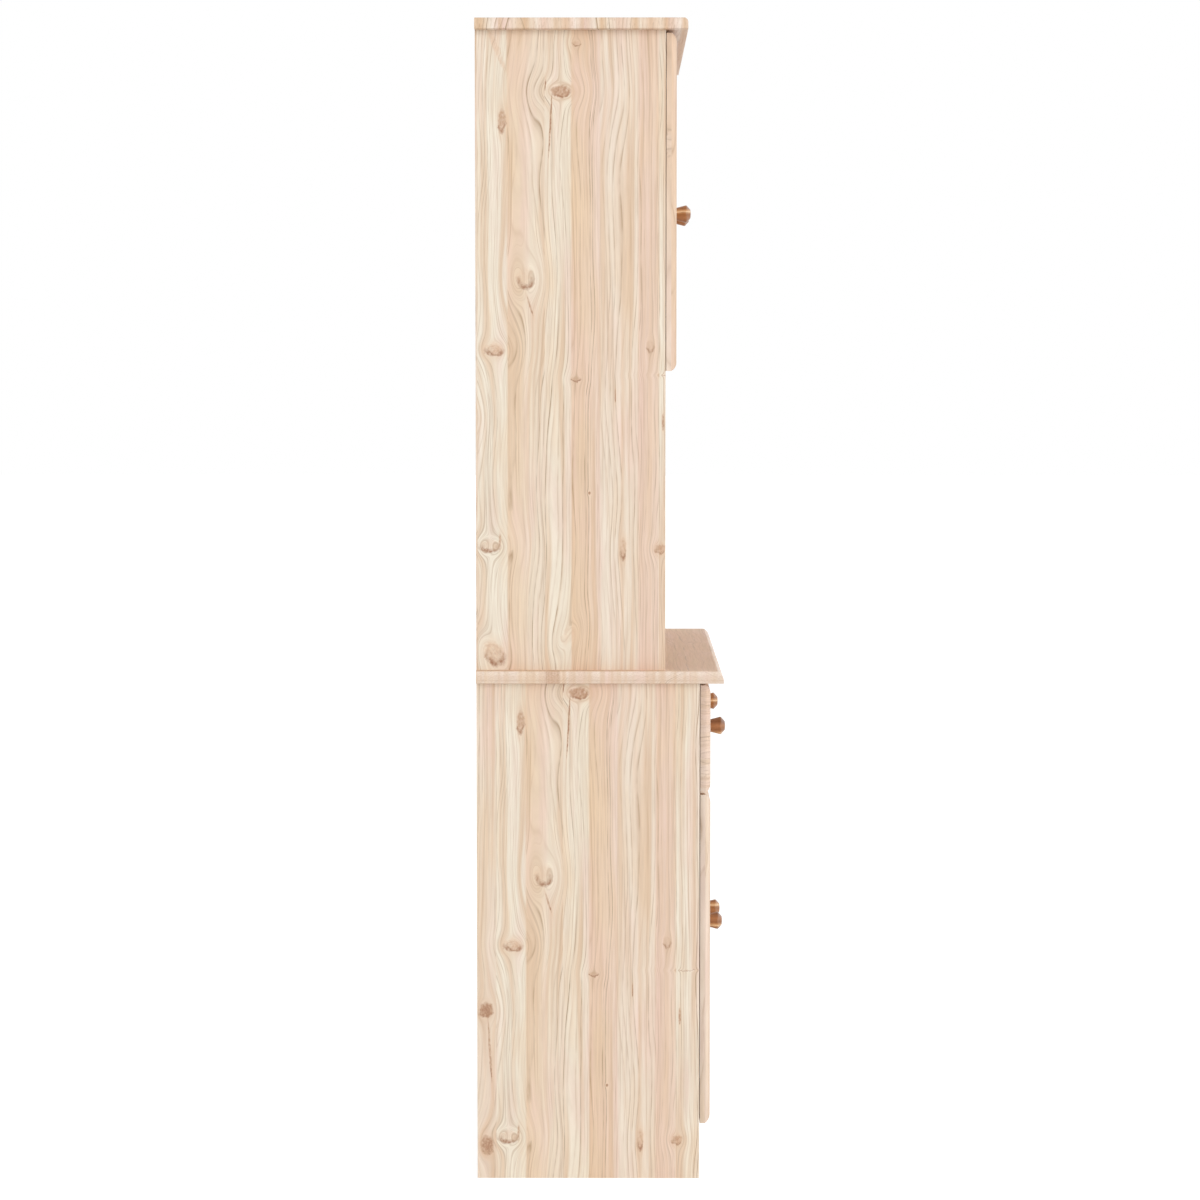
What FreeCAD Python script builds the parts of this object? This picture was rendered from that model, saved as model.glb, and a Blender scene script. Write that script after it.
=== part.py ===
import FreeCAD, Part
import math
import os
import re
import Sketcher

# Two-part pine cupboard: a deep base with two drawers over two doors, and a shallower hutch
# with two doors that stands on the worktop and leaves an open niche under its bottom board.
# The origin is on the floor, under the middle of the whole cupboard's box. The front faces -Y.
# Sizes are in millimetres.

SIZES = {
    # overall
    "carcass_width": 732.0,
    "slab_side_overhang": 19.0,
    "worktop_front_overhang": 18.0,
    "top_front_overhang": 15.5,
    "board": 18.0,
    "top_board": 15.5,
    "worktop_depth": 351.5,
    "top_depth": 299.5,
    "base_side_height": 715.0,
    "hutch_side_height": 901.5,
    "plinth_height": 80.0,
    "plinth_recess": 30.0,
    "side_edge_round": 2.0,
    "slab_edge_round": 1.5,
    # worktop and top edges
    "worktop_nose_reach": 9.0,
    "worktop_nose_rise": 15.0,
    "worktop_nose_radius": 17.0,
    "top_nose_reach": 5.0,
    "top_nose_rise": 7.0,
    "top_nose_radius": 7.4,
    # doors and drawer fronts
    "front_thickness": 14.6,
    "front_gap": 0.8,
    "front_reveal": 1.0,
    "front_spacing": 3.0,
    "front_top_gap": 4.0,
    "hutch_door_top_gap": 4.0,
    "front_edge_drop": 7.5,
    "front_edge_reach": 12.0,
    "front_edge_radius": 13.35,
    "drawer_front_height": 154.0,
    "niche_height": 424.0,
    # backs, shelves and their pins
    "back_thickness": 4.0,
    "rebate_width": 9.0,
    "rebate_depth": 8.0,
    "shelf_recess": 30.0,
    "shelf_clearance": 1.0,
    "shelf_edge_round": 3.0,
    "pin_radius": 2.5,
    "pin_length": 9.0,
    "pin_head_radius": 3.5,
    "pin_head_length": 8.0,
    "pin_hole_depth": 10.0,
    "pin_hole_radius": 2.55,
    "pin_hole_pitch": 32.0,
    "pin_inset": 45.0,
    # dowels
    "dowel_radius": 4.0,
    "dowel_hole_radius": 4.05,
    "dowel_length": 32.0,
    "dowel_in_face": 12.0,
    "dowel_end_room": 1.0,
    "base_dowel_inset": 45.0,
    "hutch_dowel_inset": 70.0,
    # drawer boxes and runners
    "drawer_side": 12.0,
    "drawer_box_height": 118.0,
    "drawer_box_length": 270.0,
    "drawer_box_lift": 14.0,
    "drawer_side_gap": 1.5,
    "drawer_bottom": 4.0,
    "drawer_bottom_rise": 10.0,
    "drawer_groove_depth": 5.0,
    "drawer_fit": 0.2,
    "runner_height": 15.0,
    "runner_length": 262.0,
    "runner_groove_depth": 6.0,
    "runner_play": 0.3,
    "runner_set_back": 6.0,
    # knobs
    "knob_reach": 26.5,
    "knob_neck_radius": 8.2,
    "knob_head_radius": 13.0,
    "knob_head_rise": 18.5,
    "knob_rim": 1.5,
    "knob_crown_radius": 6.5,
    "knob_crown_rise": 0.7,
    "knob_tenon_radius": 5.0,
    "knob_tenon_length": 9.0,
    "knob_hole_radius": 5.05,
    "knob_hole_depth": 10.0,
    "door_knob_inset": 58.5,
    "base_knob_rise": 6.0,
    "hutch_knob_drop": 3.0,
    # battens that keep the door boards flat
    "batten_width": 44.0,
    "batten_thickness": 14.0,
    "batten_inset": 112.0,
    "batten_side_inset": 46.0,
    "batten_free_inset": 30.0,
    "batten_bevel": 5.0,
    # concealed hinges: cup in the door, link, arm on the side
    "hinge_inset": 70.0,
    "cup_radius": 17.5,
    "cup_wall": 0.6,
    "cup_depth": 10.5,
    "cup_edge": 3.0,
    "cup_hole_play": 0.05,
    "cup_pin_inset": 10.0,
    "cup_pin_depth": 3.0,
    "arm_pin_reach": 37.5,
    "arm_pin_back": 4.0,
    "hinge_pin_radius": 1.25,
    "link_eye_radius": 2.4,
    "link_eye_play": 0.06,
    "link_width": 11.0,
    "link_half_thickness": 0.7,
    "link_bow": 1.2,
    "arm_width": 14.0,
    "arm_channel": 11.6,
    "arm_nose_radius": 3.8,
    "arm_web": 1.0,
    "arm_foot_start": 24.0,
    "arm_foot_end": 58.0,
    "arm_tail_rise": 9.0,
    "plate_thickness": 2.0,
    "plate_height": 46.0,
    "plate_length": 26.0,
    "plate_start": 25.0,
    "plate_corner": 6.0,
    "plate_screw_spacing": 32.0,
    "plate_screw_head_radius": 3.6,
    "plate_screw_head_rise": 1.8,
}

# Places and lengths that follow from the sizes above.
DERIVED = {
    "slab_width": "carcass_width + 2 * slab_side_overhang",
    "base_side_depth": "worktop_depth - worktop_front_overhang - front_thickness - front_gap",
    "hutch_side_depth": "top_depth - top_front_overhang - front_thickness - front_gap",
    "rear": "(base_side_depth + front_gap + front_thickness + knob_reach) / 2",
    "slab_left": "slab_width / 2",
    "side_left": "carcass_width / 2",
    "inner_left": "carcass_width / 2 - board",
    "inner_width": "carcass_width - 2 * board",
    "base_edge": "rear - base_side_depth",
    "hutch_edge": "rear - hutch_side_depth",
    "back_face": "rear - rebate_depth",
    "base_board_depth": "base_side_depth - rebate_depth",
    "hutch_board_depth": "hutch_side_depth - rebate_depth",
    "worktop_level": "base_side_height + board",
    "top_level": "worktop_level + hutch_side_height",
    "hutch_board_level": "worktop_level + niche_height",
    "front_width": "(carcass_width - 2 * front_reveal - front_spacing) / 2",
    "base_front_plane": "base_edge - front_gap - front_thickness",
    "hutch_front_plane": "hutch_edge - front_gap - front_thickness",
    "drawer_front_level": "base_side_height - front_top_gap - drawer_front_height",
    "drawer_shelf_level": "drawer_front_level - front_spacing / 2 - board / 2",
    "base_door_height": "drawer_front_level - front_spacing - plinth_height",
    "hutch_door_height": "hutch_side_height - niche_height - hutch_door_top_gap",
    "bay_width": "(inner_width - board) / 2",
    "drawer_width": "bay_width - 2 * drawer_side_gap",
    "drawer_level": "drawer_shelf_level + board + drawer_box_lift",
    "runner_level": "drawer_level + drawer_box_height / 2 - runner_height / 2",
    "runner_thickness": "drawer_side_gap + runner_groove_depth - runner_play",
    "base_shelf_level": "(plinth_height + board + drawer_shelf_level - board) / 2",
    "hutch_shelf_level": "(hutch_board_level + top_level) / 2",
    "back_width": "carcass_width - 2 * rebate_width",
    "cup_inset": "front_reveal + cup_edge + cup_radius",
}

doc = FreeCAD.newDocument("cupboard")
sheet = doc.addObject("Spreadsheet::Sheet", "Sizes")
for row, (name, size) in enumerate(SIZES.items(), start=1):
    sheet.set("A%d" % row, name)
    sheet.set("B%d" % row, str(size))
    sheet.setAlias("B%d" % row, name)
doc.recompute()

parts = []
SAME_PLACE_SHARE = 0.001


def expression(text):
    """The text with each size's name turned into its cell and each derived name spelt out."""
    def spell(match):
        name = match.group(0)
        if name in DERIVED:
            return "(" + expression(DERIVED[name]) + ")"
        if name in SIZES:
            return "Sizes." + name
        return name
    return re.sub("[a-z_]+", spell, text)


def value(text):
    """The number that an expression on the sizes gives now."""
    return float(sheet.evalExpression(expression(text)))


def bind(thing, **paths):
    """Ties properties of an object to expressions on the sizes."""
    for path, text in paths.items():
        thing.setExpression(path.replace("__", "."), expression(text))


def place(thing, where, rotation=None):
    """Puts an object's own origin at three expressions, turned by an optional rotation."""
    if rotation is not None:
        thing.Placement = FreeCAD.Placement(FreeCAD.Vector(), rotation)
    bind(thing, Placement__Base__x=where[0], Placement__Base__y=where[1], Placement__Base__z=where[2])


def keep(thing, label):
    """Names a finished sub-part, which is written to a file of that name."""
    thing.Label = label
    parts.append(thing)
    return thing


def new_body(label):
    """An empty body for one piece."""
    return doc.addObject("PartDesign::Body", label + "_body")


def sketch_on(body, role, offset="0"):
    """A sketch on one of a body's origin planes, moved along the plane's normal by an expression."""
    sketch = body.newObject("Sketcher::SketchObject", body.Name + "_sketch")
    plane = [one for one in body.Origin.OriginFeatures if one.Role == role][0]
    sketch.AttachmentSupport = (plane, [""])
    sketch.MapMode = "FlatFace"
    bind(sketch, AttachmentOffset__Base__z=offset)
    return sketch


def fix_point(sketch, geometry, point, across, up):
    """Ties one point of a sketch to a place given by two expressions."""
    for kind, text in (("DistanceX", across), ("DistanceY", up)):
        index = sketch.addConstraint(Sketcher.Constraint(kind, -1, 1, geometry, point, value(text)))
        sketch.setExpression("Constraints[%d]" % index, expression(text))


def fix_size(sketch, kind, geometry, text):
    """Ties a radius of a sketch to an expression."""
    index = sketch.addConstraint(Sketcher.Constraint(kind, geometry, value(text)))
    sketch.setExpression("Constraints[%d]" % index, expression(text))


def circle(sketch, across, up, radius):
    """A circle at a place given by expressions."""
    centre = FreeCAD.Vector(value(across), value(up), 0)
    index = sketch.addGeometry(Part.Circle(centre, FreeCAD.Vector(0, 0, 1), value(radius)), False)
    fix_point(sketch, index, 3, across, up)
    fix_size(sketch, "Radius", index, radius)


def profile(sketch, corners):
    """A closed outline through corners (across, up). A corner with two more entries, a radius and
    +1 or -1, starts an arc of that radius to the next one, turning left or right."""
    points = [FreeCAD.Vector(value(corner[0]), value(corner[1]), 0) for corner in corners]
    starts = []
    for number, corner in enumerate(corners):
        first = points[number]
        last = points[(number + 1) % len(points)]
        if len(corner) == 2:
            index = sketch.addGeometry(Part.LineSegment(first, last), False)
            starts.append((index, 1, 2))
            continue
        radius = value(corner[2])
        turn = corner[3]
        middle = (first + last) * 0.5
        chord = last - first
        side = FreeCAD.Vector(-chord.y, chord.x, 0).normalize()
        reach = math.sqrt(max(radius ** 2 - (chord.Length / 2) ** 2, 0))
        centre = middle + side * (reach * turn)
        angle_first = math.atan2(first.y - centre.y, first.x - centre.x)
        angle_last = math.atan2(last.y - centre.y, last.x - centre.x)
        angles = (angle_first, angle_last) if turn > 0 else (angle_last, angle_first)
        arc = Part.ArcOfCircle(Part.Circle(centre, FreeCAD.Vector(0, 0, 1), radius), *angles)
        index = sketch.addGeometry(arc, False)
        fix_size(sketch, "Radius", index, corner[2])
        starts.append((index, 1, 2) if turn > 0 else (index, 2, 1))
    for number, (index, start, end) in enumerate(starts):
        following = starts[(number + 1) % len(starts)]
        sketch.addConstraint(Sketcher.Constraint("Coincident", index, end, following[0], following[1]))
        fix_point(sketch, index, start, corners[number][0], corners[number][1])


def rectangle(sketch, across, up, width, height):
    """A rectangle from its low corner and its two sizes, all expressions."""
    right = "%s + %s" % (across, width)
    high = "%s + %s" % (up, height)
    profile(sketch, [(across, up), (right, up), (right, high), (across, high)])


def pad(body, sketch, length, both_ways=False, back=False):
    """A pad of a sketch over a length given by an expression."""
    feature = body.newObject("PartDesign::Pad", body.Name + "_pad")
    feature.Profile = sketch
    feature.Midplane = both_ways
    feature.Reversed = back
    bind(feature, Length=length)
    return feature


def pocket(body, sketch, depth=None, forward=False, both_ways=False):
    """A pocket of a sketch, against its normal unless forward, to a depth or right through."""
    doc.recompute()
    before = body.Shape.Volume
    feature = body.newObject("PartDesign::Pocket", body.Name + "_pocket")
    feature.Profile = sketch
    feature.Reversed = forward
    feature.Midplane = both_ways
    if depth is None:
        feature.Type = "ThroughAll"
    else:
        bind(feature, Length=depth)
    doc.recompute()
    if body.Shape.Volume >= before:
        raise ValueError("a pocket in %s cuts nothing" % body.Name)
    return feature


def revolve(body, sketch):
    """A full turn of a sketch about its own vertical axis."""
    feature = body.newObject("PartDesign::Revolution", body.Name + "_turning")
    feature.Profile = sketch
    feature.ReferenceAxis = (sketch, ["V_Axis"])
    feature.Angle = 360
    return feature


def round_edges(body, radius, wanted):
    """A fillet on the body's edges whose middle and direction satisfy a test."""
    doc.recompute()
    tip = body.Tip
    names = []
    for number, edge in enumerate(tip.Shape.Edges, start=1):
        middle = edge.valueAt((edge.FirstParameter + edge.LastParameter) / 2)
        along = edge.tangentAt(edge.FirstParameter)
        if wanted(middle, along):
            names.append("Edge%d" % number)
    feature = body.newObject("PartDesign::Fillet", body.Name + "_round")
    feature.Base = (tip, names)
    bind(feature, Radius=radius)
    return feature


def near(first, text):
    """True where a length lies at the place that an expression gives, to a share of a board."""
    return abs(first - value(text)) < value("board") * SAME_PLACE_SHARE


def board(label, where, size):
    """A rectangular board with its low corner at three expressions."""
    body = new_body(label)
    sketch = sketch_on(body, "XY_Plane")
    rectangle(sketch, "0", "0", size[0], size[1])
    pad(body, sketch, size[2])
    place(body, where)
    return keep(body, label)


def drill(body, role, offset, places, radius, depth, forward=False):
    """Round holes of one radius and depth from one plane of a board."""
    sketch = sketch_on(body, role, offset)
    for across, up in places:
        circle(sketch, across, up, radius)
    pocket(body, sketch, depth, forward)


def cut_channel(body, role, across, up, width, height, offset="0", depth=None, forward=False):
    """A rectangular groove, rebate or channel cut from one plane of a board."""
    sketch = sketch_on(body, role, offset)
    rectangle(sketch, across, up, width, height)
    pocket(body, sketch, depth, forward)


DOWEL_HOLE_FACE = "dowel_in_face + dowel_end_room"
DOWEL_HOLE_END = "dowel_length - dowel_in_face + dowel_end_room"
dowels = []


def dowel_rows(prefix, depth):
    """The two places of dowels across a board of a given depth in the base or the hutch."""
    return (prefix + "_dowel_inset", "%s - %s_dowel_inset" % (depth, prefix))


def add_dowel(where, along):
    """One dowel whose middle of the low end is at three expressions, along X or Z."""
    dowel = doc.addObject("Part::Cylinder", "dowel")
    bind(dowel, Radius="dowel_radius", Height="dowel_length")
    turn = {"x": FreeCAD.Rotation(FreeCAD.Vector(0, 1, 0), 90), "z": FreeCAD.Rotation()}[along]
    place(dowel, where, turn)
    dowels.append(dowel)


def sides(prefix, depth, height, edge, level, boards):
    """The two side boards of a carcass: a rebate for the back, holes for the dowels in their top and
    bottom edges and inner faces, and rows of holes for the shelf pins."""
    for name, low, inner, rebate_at in (
        ("left", "-side_left", "board", "board - rebate_width"),
        ("right", "side_left - board", "0", "0"),
    ):
        body = board(prefix + "_side_" + name, (low, edge, level), ("board", depth, height))
        cut_channel(body, "XY_Plane", rebate_at, "%s - rebate_depth" % depth, "rebate_width",
                    "rebate_depth", forward=True)
        into = name == "right"
        ends = [("board / 2", across) for across in dowel_rows(prefix, depth + " - rebate_depth")]
        drill(body, "XY_Plane", height, ends, "dowel_hole_radius", DOWEL_HOLE_END)
        if prefix == "hutch":
            drill(body, "XY_Plane", "0", ends, "dowel_hole_radius", DOWEL_HOLE_END, forward=True)
        holes = []
        for board_level, board_depth in boards:
            for across in dowel_rows(prefix, board_depth):
                holes.append((across, "%s - (%s) + board / 2" % (board_level, level)))
        drill(body, "YZ_Plane", inner, holes, "dowel_hole_radius", DOWEL_HOLE_FACE, forward=into)
        shelf = prefix + "_shelf_level"
        pins = []
        for across in ("pin_inset", "%s - rebate_depth - pin_inset" % depth):
            for step in (-1, 0, 1):
                pins.append((across, "%s - (%s) - pin_head_radius + %d * pin_hole_pitch"
                             % (shelf, level, step)))
        drill(body, "YZ_Plane", inner, pins, "pin_hole_radius", "pin_hole_depth", forward=into)
        round_edges(body, "side_edge_round", lambda middle, along: abs(along.z) > 0.99
                    and near(middle.y, "0"))
        edge_x = "-side_left + board / 2" if name == "left" else "side_left - board / 2"
        for across in dowel_rows(prefix, depth + " - rebate_depth"):
            where_y = "(%s) + %s" % (edge, across)
            add_dowel((edge_x, where_y, "(%s) + %s - dowel_length + dowel_in_face" % (level, height)), "z")
            if prefix == "hutch":
                add_dowel((edge_x, where_y, "(%s) - dowel_in_face" % level), "z")
        for board_level, board_depth in boards:
            start = "-inner_left - dowel_in_face" if name == "left" \
                else "inner_left + dowel_in_face - dowel_length"
            for across in dowel_rows(prefix, board_depth):
                add_dowel((start, "(%s) + %s" % (edge, across), "%s + board / 2" % board_level), "x")


def cross_board(prefix, label, edge, level, depth):
    """A board between the two sides, with dowel holes in both ends."""
    body = board(label, ("-inner_left", edge, level), ("inner_width", depth, "board"))
    ends = [(across, "board / 2") for across in dowel_rows(prefix, depth)]
    drill(body, "YZ_Plane", "0", ends, "dowel_hole_radius", DOWEL_HOLE_END, forward=True)
    drill(body, "YZ_Plane", "inner_width", ends, "dowel_hole_radius", DOWEL_HOLE_END)


def slab(label, depth, level, thickness, nose, carriers):
    """A worktop or top slab: its front upper edge is an arc that leaves the front face upright and
    meets the upper face at a crease, its end edges are eased, and dowel holes take the sides."""
    body = board(label, ("-slab_left", "rear - %s" % depth, level),
                 ("slab_width", depth, thickness))
    round_edges(body, "slab_edge_round", lambda middle, along: abs(along.y) > 0.99)
    reach, rise, radius = [nose + word for word in ("_nose_reach", "_nose_rise", "_nose_radius")]
    sketch = sketch_on(body, "YZ_Plane")
    profile(sketch, [("0", "%s - %s" % (thickness, rise), radius, -1), (reach, thickness),
                     ("0", thickness)])
    pocket(body, sketch, forward=True)
    for prefix, from_top in carriers:
        carrier = prefix + "_side_depth"
        holes = []
        for across in dowel_rows(prefix, carrier + " - rebate_depth"):
            from_front = "%s - %s + %s" % (depth, carrier, across)
            holes.append(("slab_left - side_left + board / 2", from_front))
            holes.append(("slab_left + side_left - board / 2", from_front))
        drill(body, "XY_Plane", thickness if from_top else "0", holes, "dowel_hole_radius",
              DOWEL_HOLE_FACE, forward=not from_top)


def shelf(label, edge, level, depth):
    """A loose shelf with a rounded front, which rests on four pins."""
    length = "inner_width - 2 * shelf_clearance"
    body = board(label, ("-inner_left + shelf_clearance", "(%s) + shelf_recess" % edge, level),
                 (length, "%s - shelf_recess - shelf_clearance" % depth, "board"))
    round_edges(body, "shelf_edge_round", lambda middle, along: abs(along.x) > 0.99
                and near(middle.y, "0"))
    return body


def shelf_pin(where, turn):
    """A stepped metal pin: a shank in the side's hole and a thicker head under the shelf."""
    body = new_body("shelf_pin")
    sketch = sketch_on(body, "XY_Plane")
    profile(sketch, [("0", "0"), ("pin_radius", "0"), ("pin_radius", "pin_length"),
                     ("pin_head_radius", "pin_length"),
                     ("pin_head_radius", "pin_length + pin_head_length"),
                     ("0", "pin_length + pin_head_length")])
    revolve(body, sketch)
    place(body, where, FreeCAD.Rotation(FreeCAD.Vector(0, 0, 1), turn))
    return body


def group(label, members):
    """Like pieces kept together in one node, each still a solid of its own."""
    compound = doc.addObject("Part::Compound", label + "_group")
    compound.Links = members
    return keep(compound, label)


def front_board(label, where, size):
    """A door or drawer front: a board whose four front edges are rounded over by a shallow arc
    that leaves the face smoothly. The body's own X and Z are across and up, Y goes back."""
    width, height = size
    body = new_body(label)
    sketch = sketch_on(body, "XZ_Plane")
    rectangle(sketch, "0", "0", width, height)
    pad(body, sketch, "front_thickness", back=True)
    ends = sketch_on(body, "YZ_Plane")
    profile(ends, [("0", "0"), ("front_edge_drop", "0", "front_edge_radius", -1),
                   ("0", "front_edge_reach")])
    profile(ends, [("0", height), ("0", "%s - front_edge_reach" % height, "front_edge_radius", -1),
                   ("front_edge_drop", height)])
    pocket(body, ends, forward=True)
    flanks = sketch_on(body, "XY_Plane")
    profile(flanks, [("0", "0"), ("front_edge_reach", "0", "front_edge_radius", -1),
                     ("0", "front_edge_drop")])
    profile(flanks, [(width, "0"), (width, "front_edge_drop", "front_edge_radius", -1),
                     ("%s - front_edge_reach" % width, "0")])
    pocket(body, flanks, forward=True)
    place(body, where)
    return keep(body, label)


def knob(label, where):
    """A turned knob: a neck that flares straight to a wide head, a narrow rim, a broad chamfer and
    a low crown, with a tenon that is glued into the front. It points to -Y."""
    body = new_body(label)
    sketch = sketch_on(body, "XY_Plane")
    profile(sketch, [
        ("0", "-knob_tenon_length"),
        ("knob_tenon_radius", "-knob_tenon_length"),
        ("knob_tenon_radius", "0"),
        ("knob_neck_radius", "0"),
        ("knob_head_radius", "knob_head_rise"),
        ("knob_head_radius", "knob_head_rise + knob_rim"),
        ("knob_crown_radius", "knob_reach - knob_crown_rise"),
        ("0", "knob_reach"),
    ])
    revolve(body, sketch)
    place(body, where, FreeCAD.Rotation(FreeCAD.Vector(0, 0, 1), 180))
    return keep(body, label)


def mirrored_x(hand, text):
    """A place across the cupboard, on the left for hand -1 and on the right for hand +1."""
    return "%s * (%s)" % (hand, text)


def hinge_levels(height):
    """The two heights of a door's hinges above the door's lower edge."""
    return ("hinge_inset", "%s - hinge_inset" % height)


def turned_to(hand):
    """The turn that lays a hinge piece's drawing, across and back, on the cupboard's left or right.
    The drawing's second axis points backwards, and its thickness is up or down."""
    if hand < 0:
        return FreeCAD.Rotation()
    return FreeCAD.Rotation(FreeCAD.Vector(0, 1, 0), 180)


def hinge_cup(hand, edge, level):
    """A pressed cup with an open back and the rivet that the link turns on."""
    body = new_body("hinge_cup")
    sketch = sketch_on(body, "XY_Plane")
    profile(sketch, [("0", "0"), ("cup_radius", "0"), ("cup_radius", "cup_depth"),
                     ("cup_radius - cup_wall", "cup_depth"), ("cup_radius - cup_wall", "cup_wall"),
                     ("0", "cup_wall")])
    revolve(body, sketch)
    centre = mirrored_x(hand, "side_left - cup_inset")
    place(body, (centre, "(%s) - front_gap - cup_depth" % edge, level))
    rivet = doc.addObject("Part::Cylinder", "hinge_rivet")
    aside = "(cup_inset - cup_pin_inset + hinge_pin_radius)"
    half = "(sqrt(cup_radius ^ 2 - %s ^ 2) - cup_hole_play)" % aside
    bind(rivet, Radius="hinge_pin_radius", Height="2 * %s" % half)
    place(rivet, (mirrored_x(hand, "side_left - cup_pin_inset"),
                  "(%s) - front_gap - cup_pin_depth" % edge, "(%s) - %s" % (level, half)))
    fused = doc.addObject("Part::Fuse", "cup_with_rivet")
    fused.Base = body
    fused.Tool = rivet
    return fused


def hinge_link(hand, edge, level):
    """A flat link with an eye at each end: one on the cup's rivet, one on the arm's pin. The
    drawing's origin is the cup's rivet, and its plate runs just beside the line of the eyes."""
    across = "(arm_pin_reach - cup_pin_inset)"
    back = "(arm_pin_back + front_gap + cup_pin_depth)"
    length = "sqrt(%s ^ 2 + %s ^ 2)" % (across, back)
    body = new_body("hinge_link")
    sketch = sketch_on(body, "XY_Plane")
    profile(sketch, [
        ("0", "0 - link_half_thickness - link_bow"),
        (length, "0 - link_half_thickness - link_bow"),
        (length, "link_half_thickness - link_bow"),
        ("0", "link_half_thickness - link_bow"),
    ])
    pad(body, sketch, "link_width", both_ways=True)
    for along in ("0", length):
        eye = sketch_on(body, "XY_Plane")
        circle(eye, along, "0", "link_eye_radius")
        pad(body, eye, "link_width", both_ways=True)
    bores = sketch_on(body, "XY_Plane")
    for along in ("0", length):
        circle(bores, along, "0", "hinge_pin_radius + link_eye_play")
    pocket(body, bores, "2 * link_width", both_ways=True)
    lean = math.degrees(math.atan2(value(back), value(across)))
    spin = FreeCAD.Rotation(FreeCAD.Vector(0, 0, 1), lean)
    place(body, (mirrored_x(hand, "side_left - cup_pin_inset"),
                 "(%s) - front_gap - cup_pin_depth" % edge, level), turned_to(hand) * spin)
    return body


def hinge_arm(hand, edge, level):
    """The fixed half: a mounting plate with two screws on the side's inner face, and a channel
    that reaches forward and holds the link's pin. Drawn across from the outer face, and back."""
    body = new_body("hinge_arm")
    channel = sketch_on(body, "XY_Plane")
    foot = "board + plate_thickness"
    profile(channel, [
        (foot, "arm_foot_start"),
        ("arm_pin_reach - arm_nose_radius", "arm_pin_back", "arm_nose_radius", 1),
        ("arm_pin_reach + arm_nose_radius", "arm_pin_back"),
        ("arm_pin_reach + arm_nose_radius", "arm_foot_start"),
        ("%s + arm_tail_rise" % foot, "arm_foot_end"),
        (foot, "arm_foot_end"),
    ])
    pad(body, channel, "arm_width", both_ways=True)
    inside = sketch_on(body, "XY_Plane")
    profile(inside, [
        (foot, "0 - arm_nose_radius"),
        ("arm_pin_reach + arm_nose_radius - arm_web", "0 - arm_nose_radius"),
        ("arm_pin_reach + arm_nose_radius - arm_web", "arm_foot_start"),
        (foot, "arm_foot_start"),
    ])
    pocket(body, inside, "arm_channel", both_ways=True)
    plate = sketch_on(body, "YZ_Plane", "board")
    rectangle(plate, "plate_start", "0 - plate_height / 2", "plate_length", "plate_height")
    pad(body, plate, "plate_thickness")
    round_edges(body, "plate_corner", lambda middle, along: abs(along.x) > 0.99
                and near(abs(middle.z), "plate_height / 2"))
    middle = "plate_start + plate_length / 2"
    heads = sketch_on(body, "YZ_Plane", foot)
    for sign in ("", "0 - "):
        circle(heads, middle, "%splate_screw_spacing / 2" % sign, "plate_screw_head_radius")
    pad(body, heads, "plate_screw_head_rise")
    pin = sketch_on(body, "XY_Plane")
    circle(pin, "arm_pin_reach", "arm_pin_back", "hinge_pin_radius")
    pad(body, pin, "arm_width", both_ways=True)
    place(body, (mirrored_x(hand, "side_left"), edge, level), turned_to(hand))
    return body


arms = []


def door(prefix, hand, edge, level, height, knob_rise):
    """A door: board, two battens, knob, two hinge cups and the links. Hand is -1 for
    the left door, hung on the left side, and +1 for the right one."""
    low = "-side_left + front_reveal" if hand < 0 else "front_spacing / 2"
    plane = "(%s) - front_gap - front_thickness" % edge
    panel = front_board(prefix + "_door_board", (low, plane, level), ("front_width", height))
    hinge_side = "front_width - %s" if hand > 0 else "%s"
    cup_from_edge = hinge_side % "(cup_edge + cup_radius)"
    cups = [(cup_from_edge, above) for above in hinge_levels(height)]
    drill(panel, "XZ_Plane", "-front_thickness", cups, "cup_radius + cup_hole_play",
          "cup_depth + cup_hole_play", forward=True)
    knob_from_edge = "front_width - door_knob_inset" if hand < 0 else "door_knob_inset"
    knob_level = "%s / 2 + %s" % (height, knob_rise)
    drill(panel, "XZ_Plane", "0", [(knob_from_edge, knob_level)], "knob_hole_radius",
          "knob_hole_depth")
    knob(prefix + "_door_knob", ("%s + %s" % (low, knob_from_edge), plane,
                                 "(%s) + %s" % (level, knob_level)))
    battens = []
    start = "batten_side_inset" if hand < 0 else "batten_free_inset"
    length = "(front_width - batten_side_inset - batten_free_inset)"
    for above in ("batten_inset", "%s - batten_inset - batten_width" % height):
        body = new_body("batten")
        sketch = sketch_on(body, "XY_Plane")
        profile(sketch, [("0", "0"), (length, "0"), (length, "batten_thickness - batten_bevel"),
                         ("%s - batten_bevel" % length, "batten_thickness"),
                         ("batten_bevel", "batten_thickness"),
                         ("0", "batten_thickness - batten_bevel")])
        pad(body, sketch, "batten_width")
        place(body, ("%s + %s" % (low, start), "(%s) - front_gap" % edge,
                     "(%s) + %s" % (level, above)))
        battens.append(body)
    group(prefix + "_door_battens", battens)
    levels = ["(%s) + %s" % (level, above) for above in hinge_levels(height)]
    group(prefix + "_hinge_cups", [hinge_cup(hand, edge, at) for at in levels])
    group(prefix + "_hinge_links", [hinge_link(hand, edge, at) for at in levels])
    arms.extend(hinge_arm(hand, edge, at) for at in levels)


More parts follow.
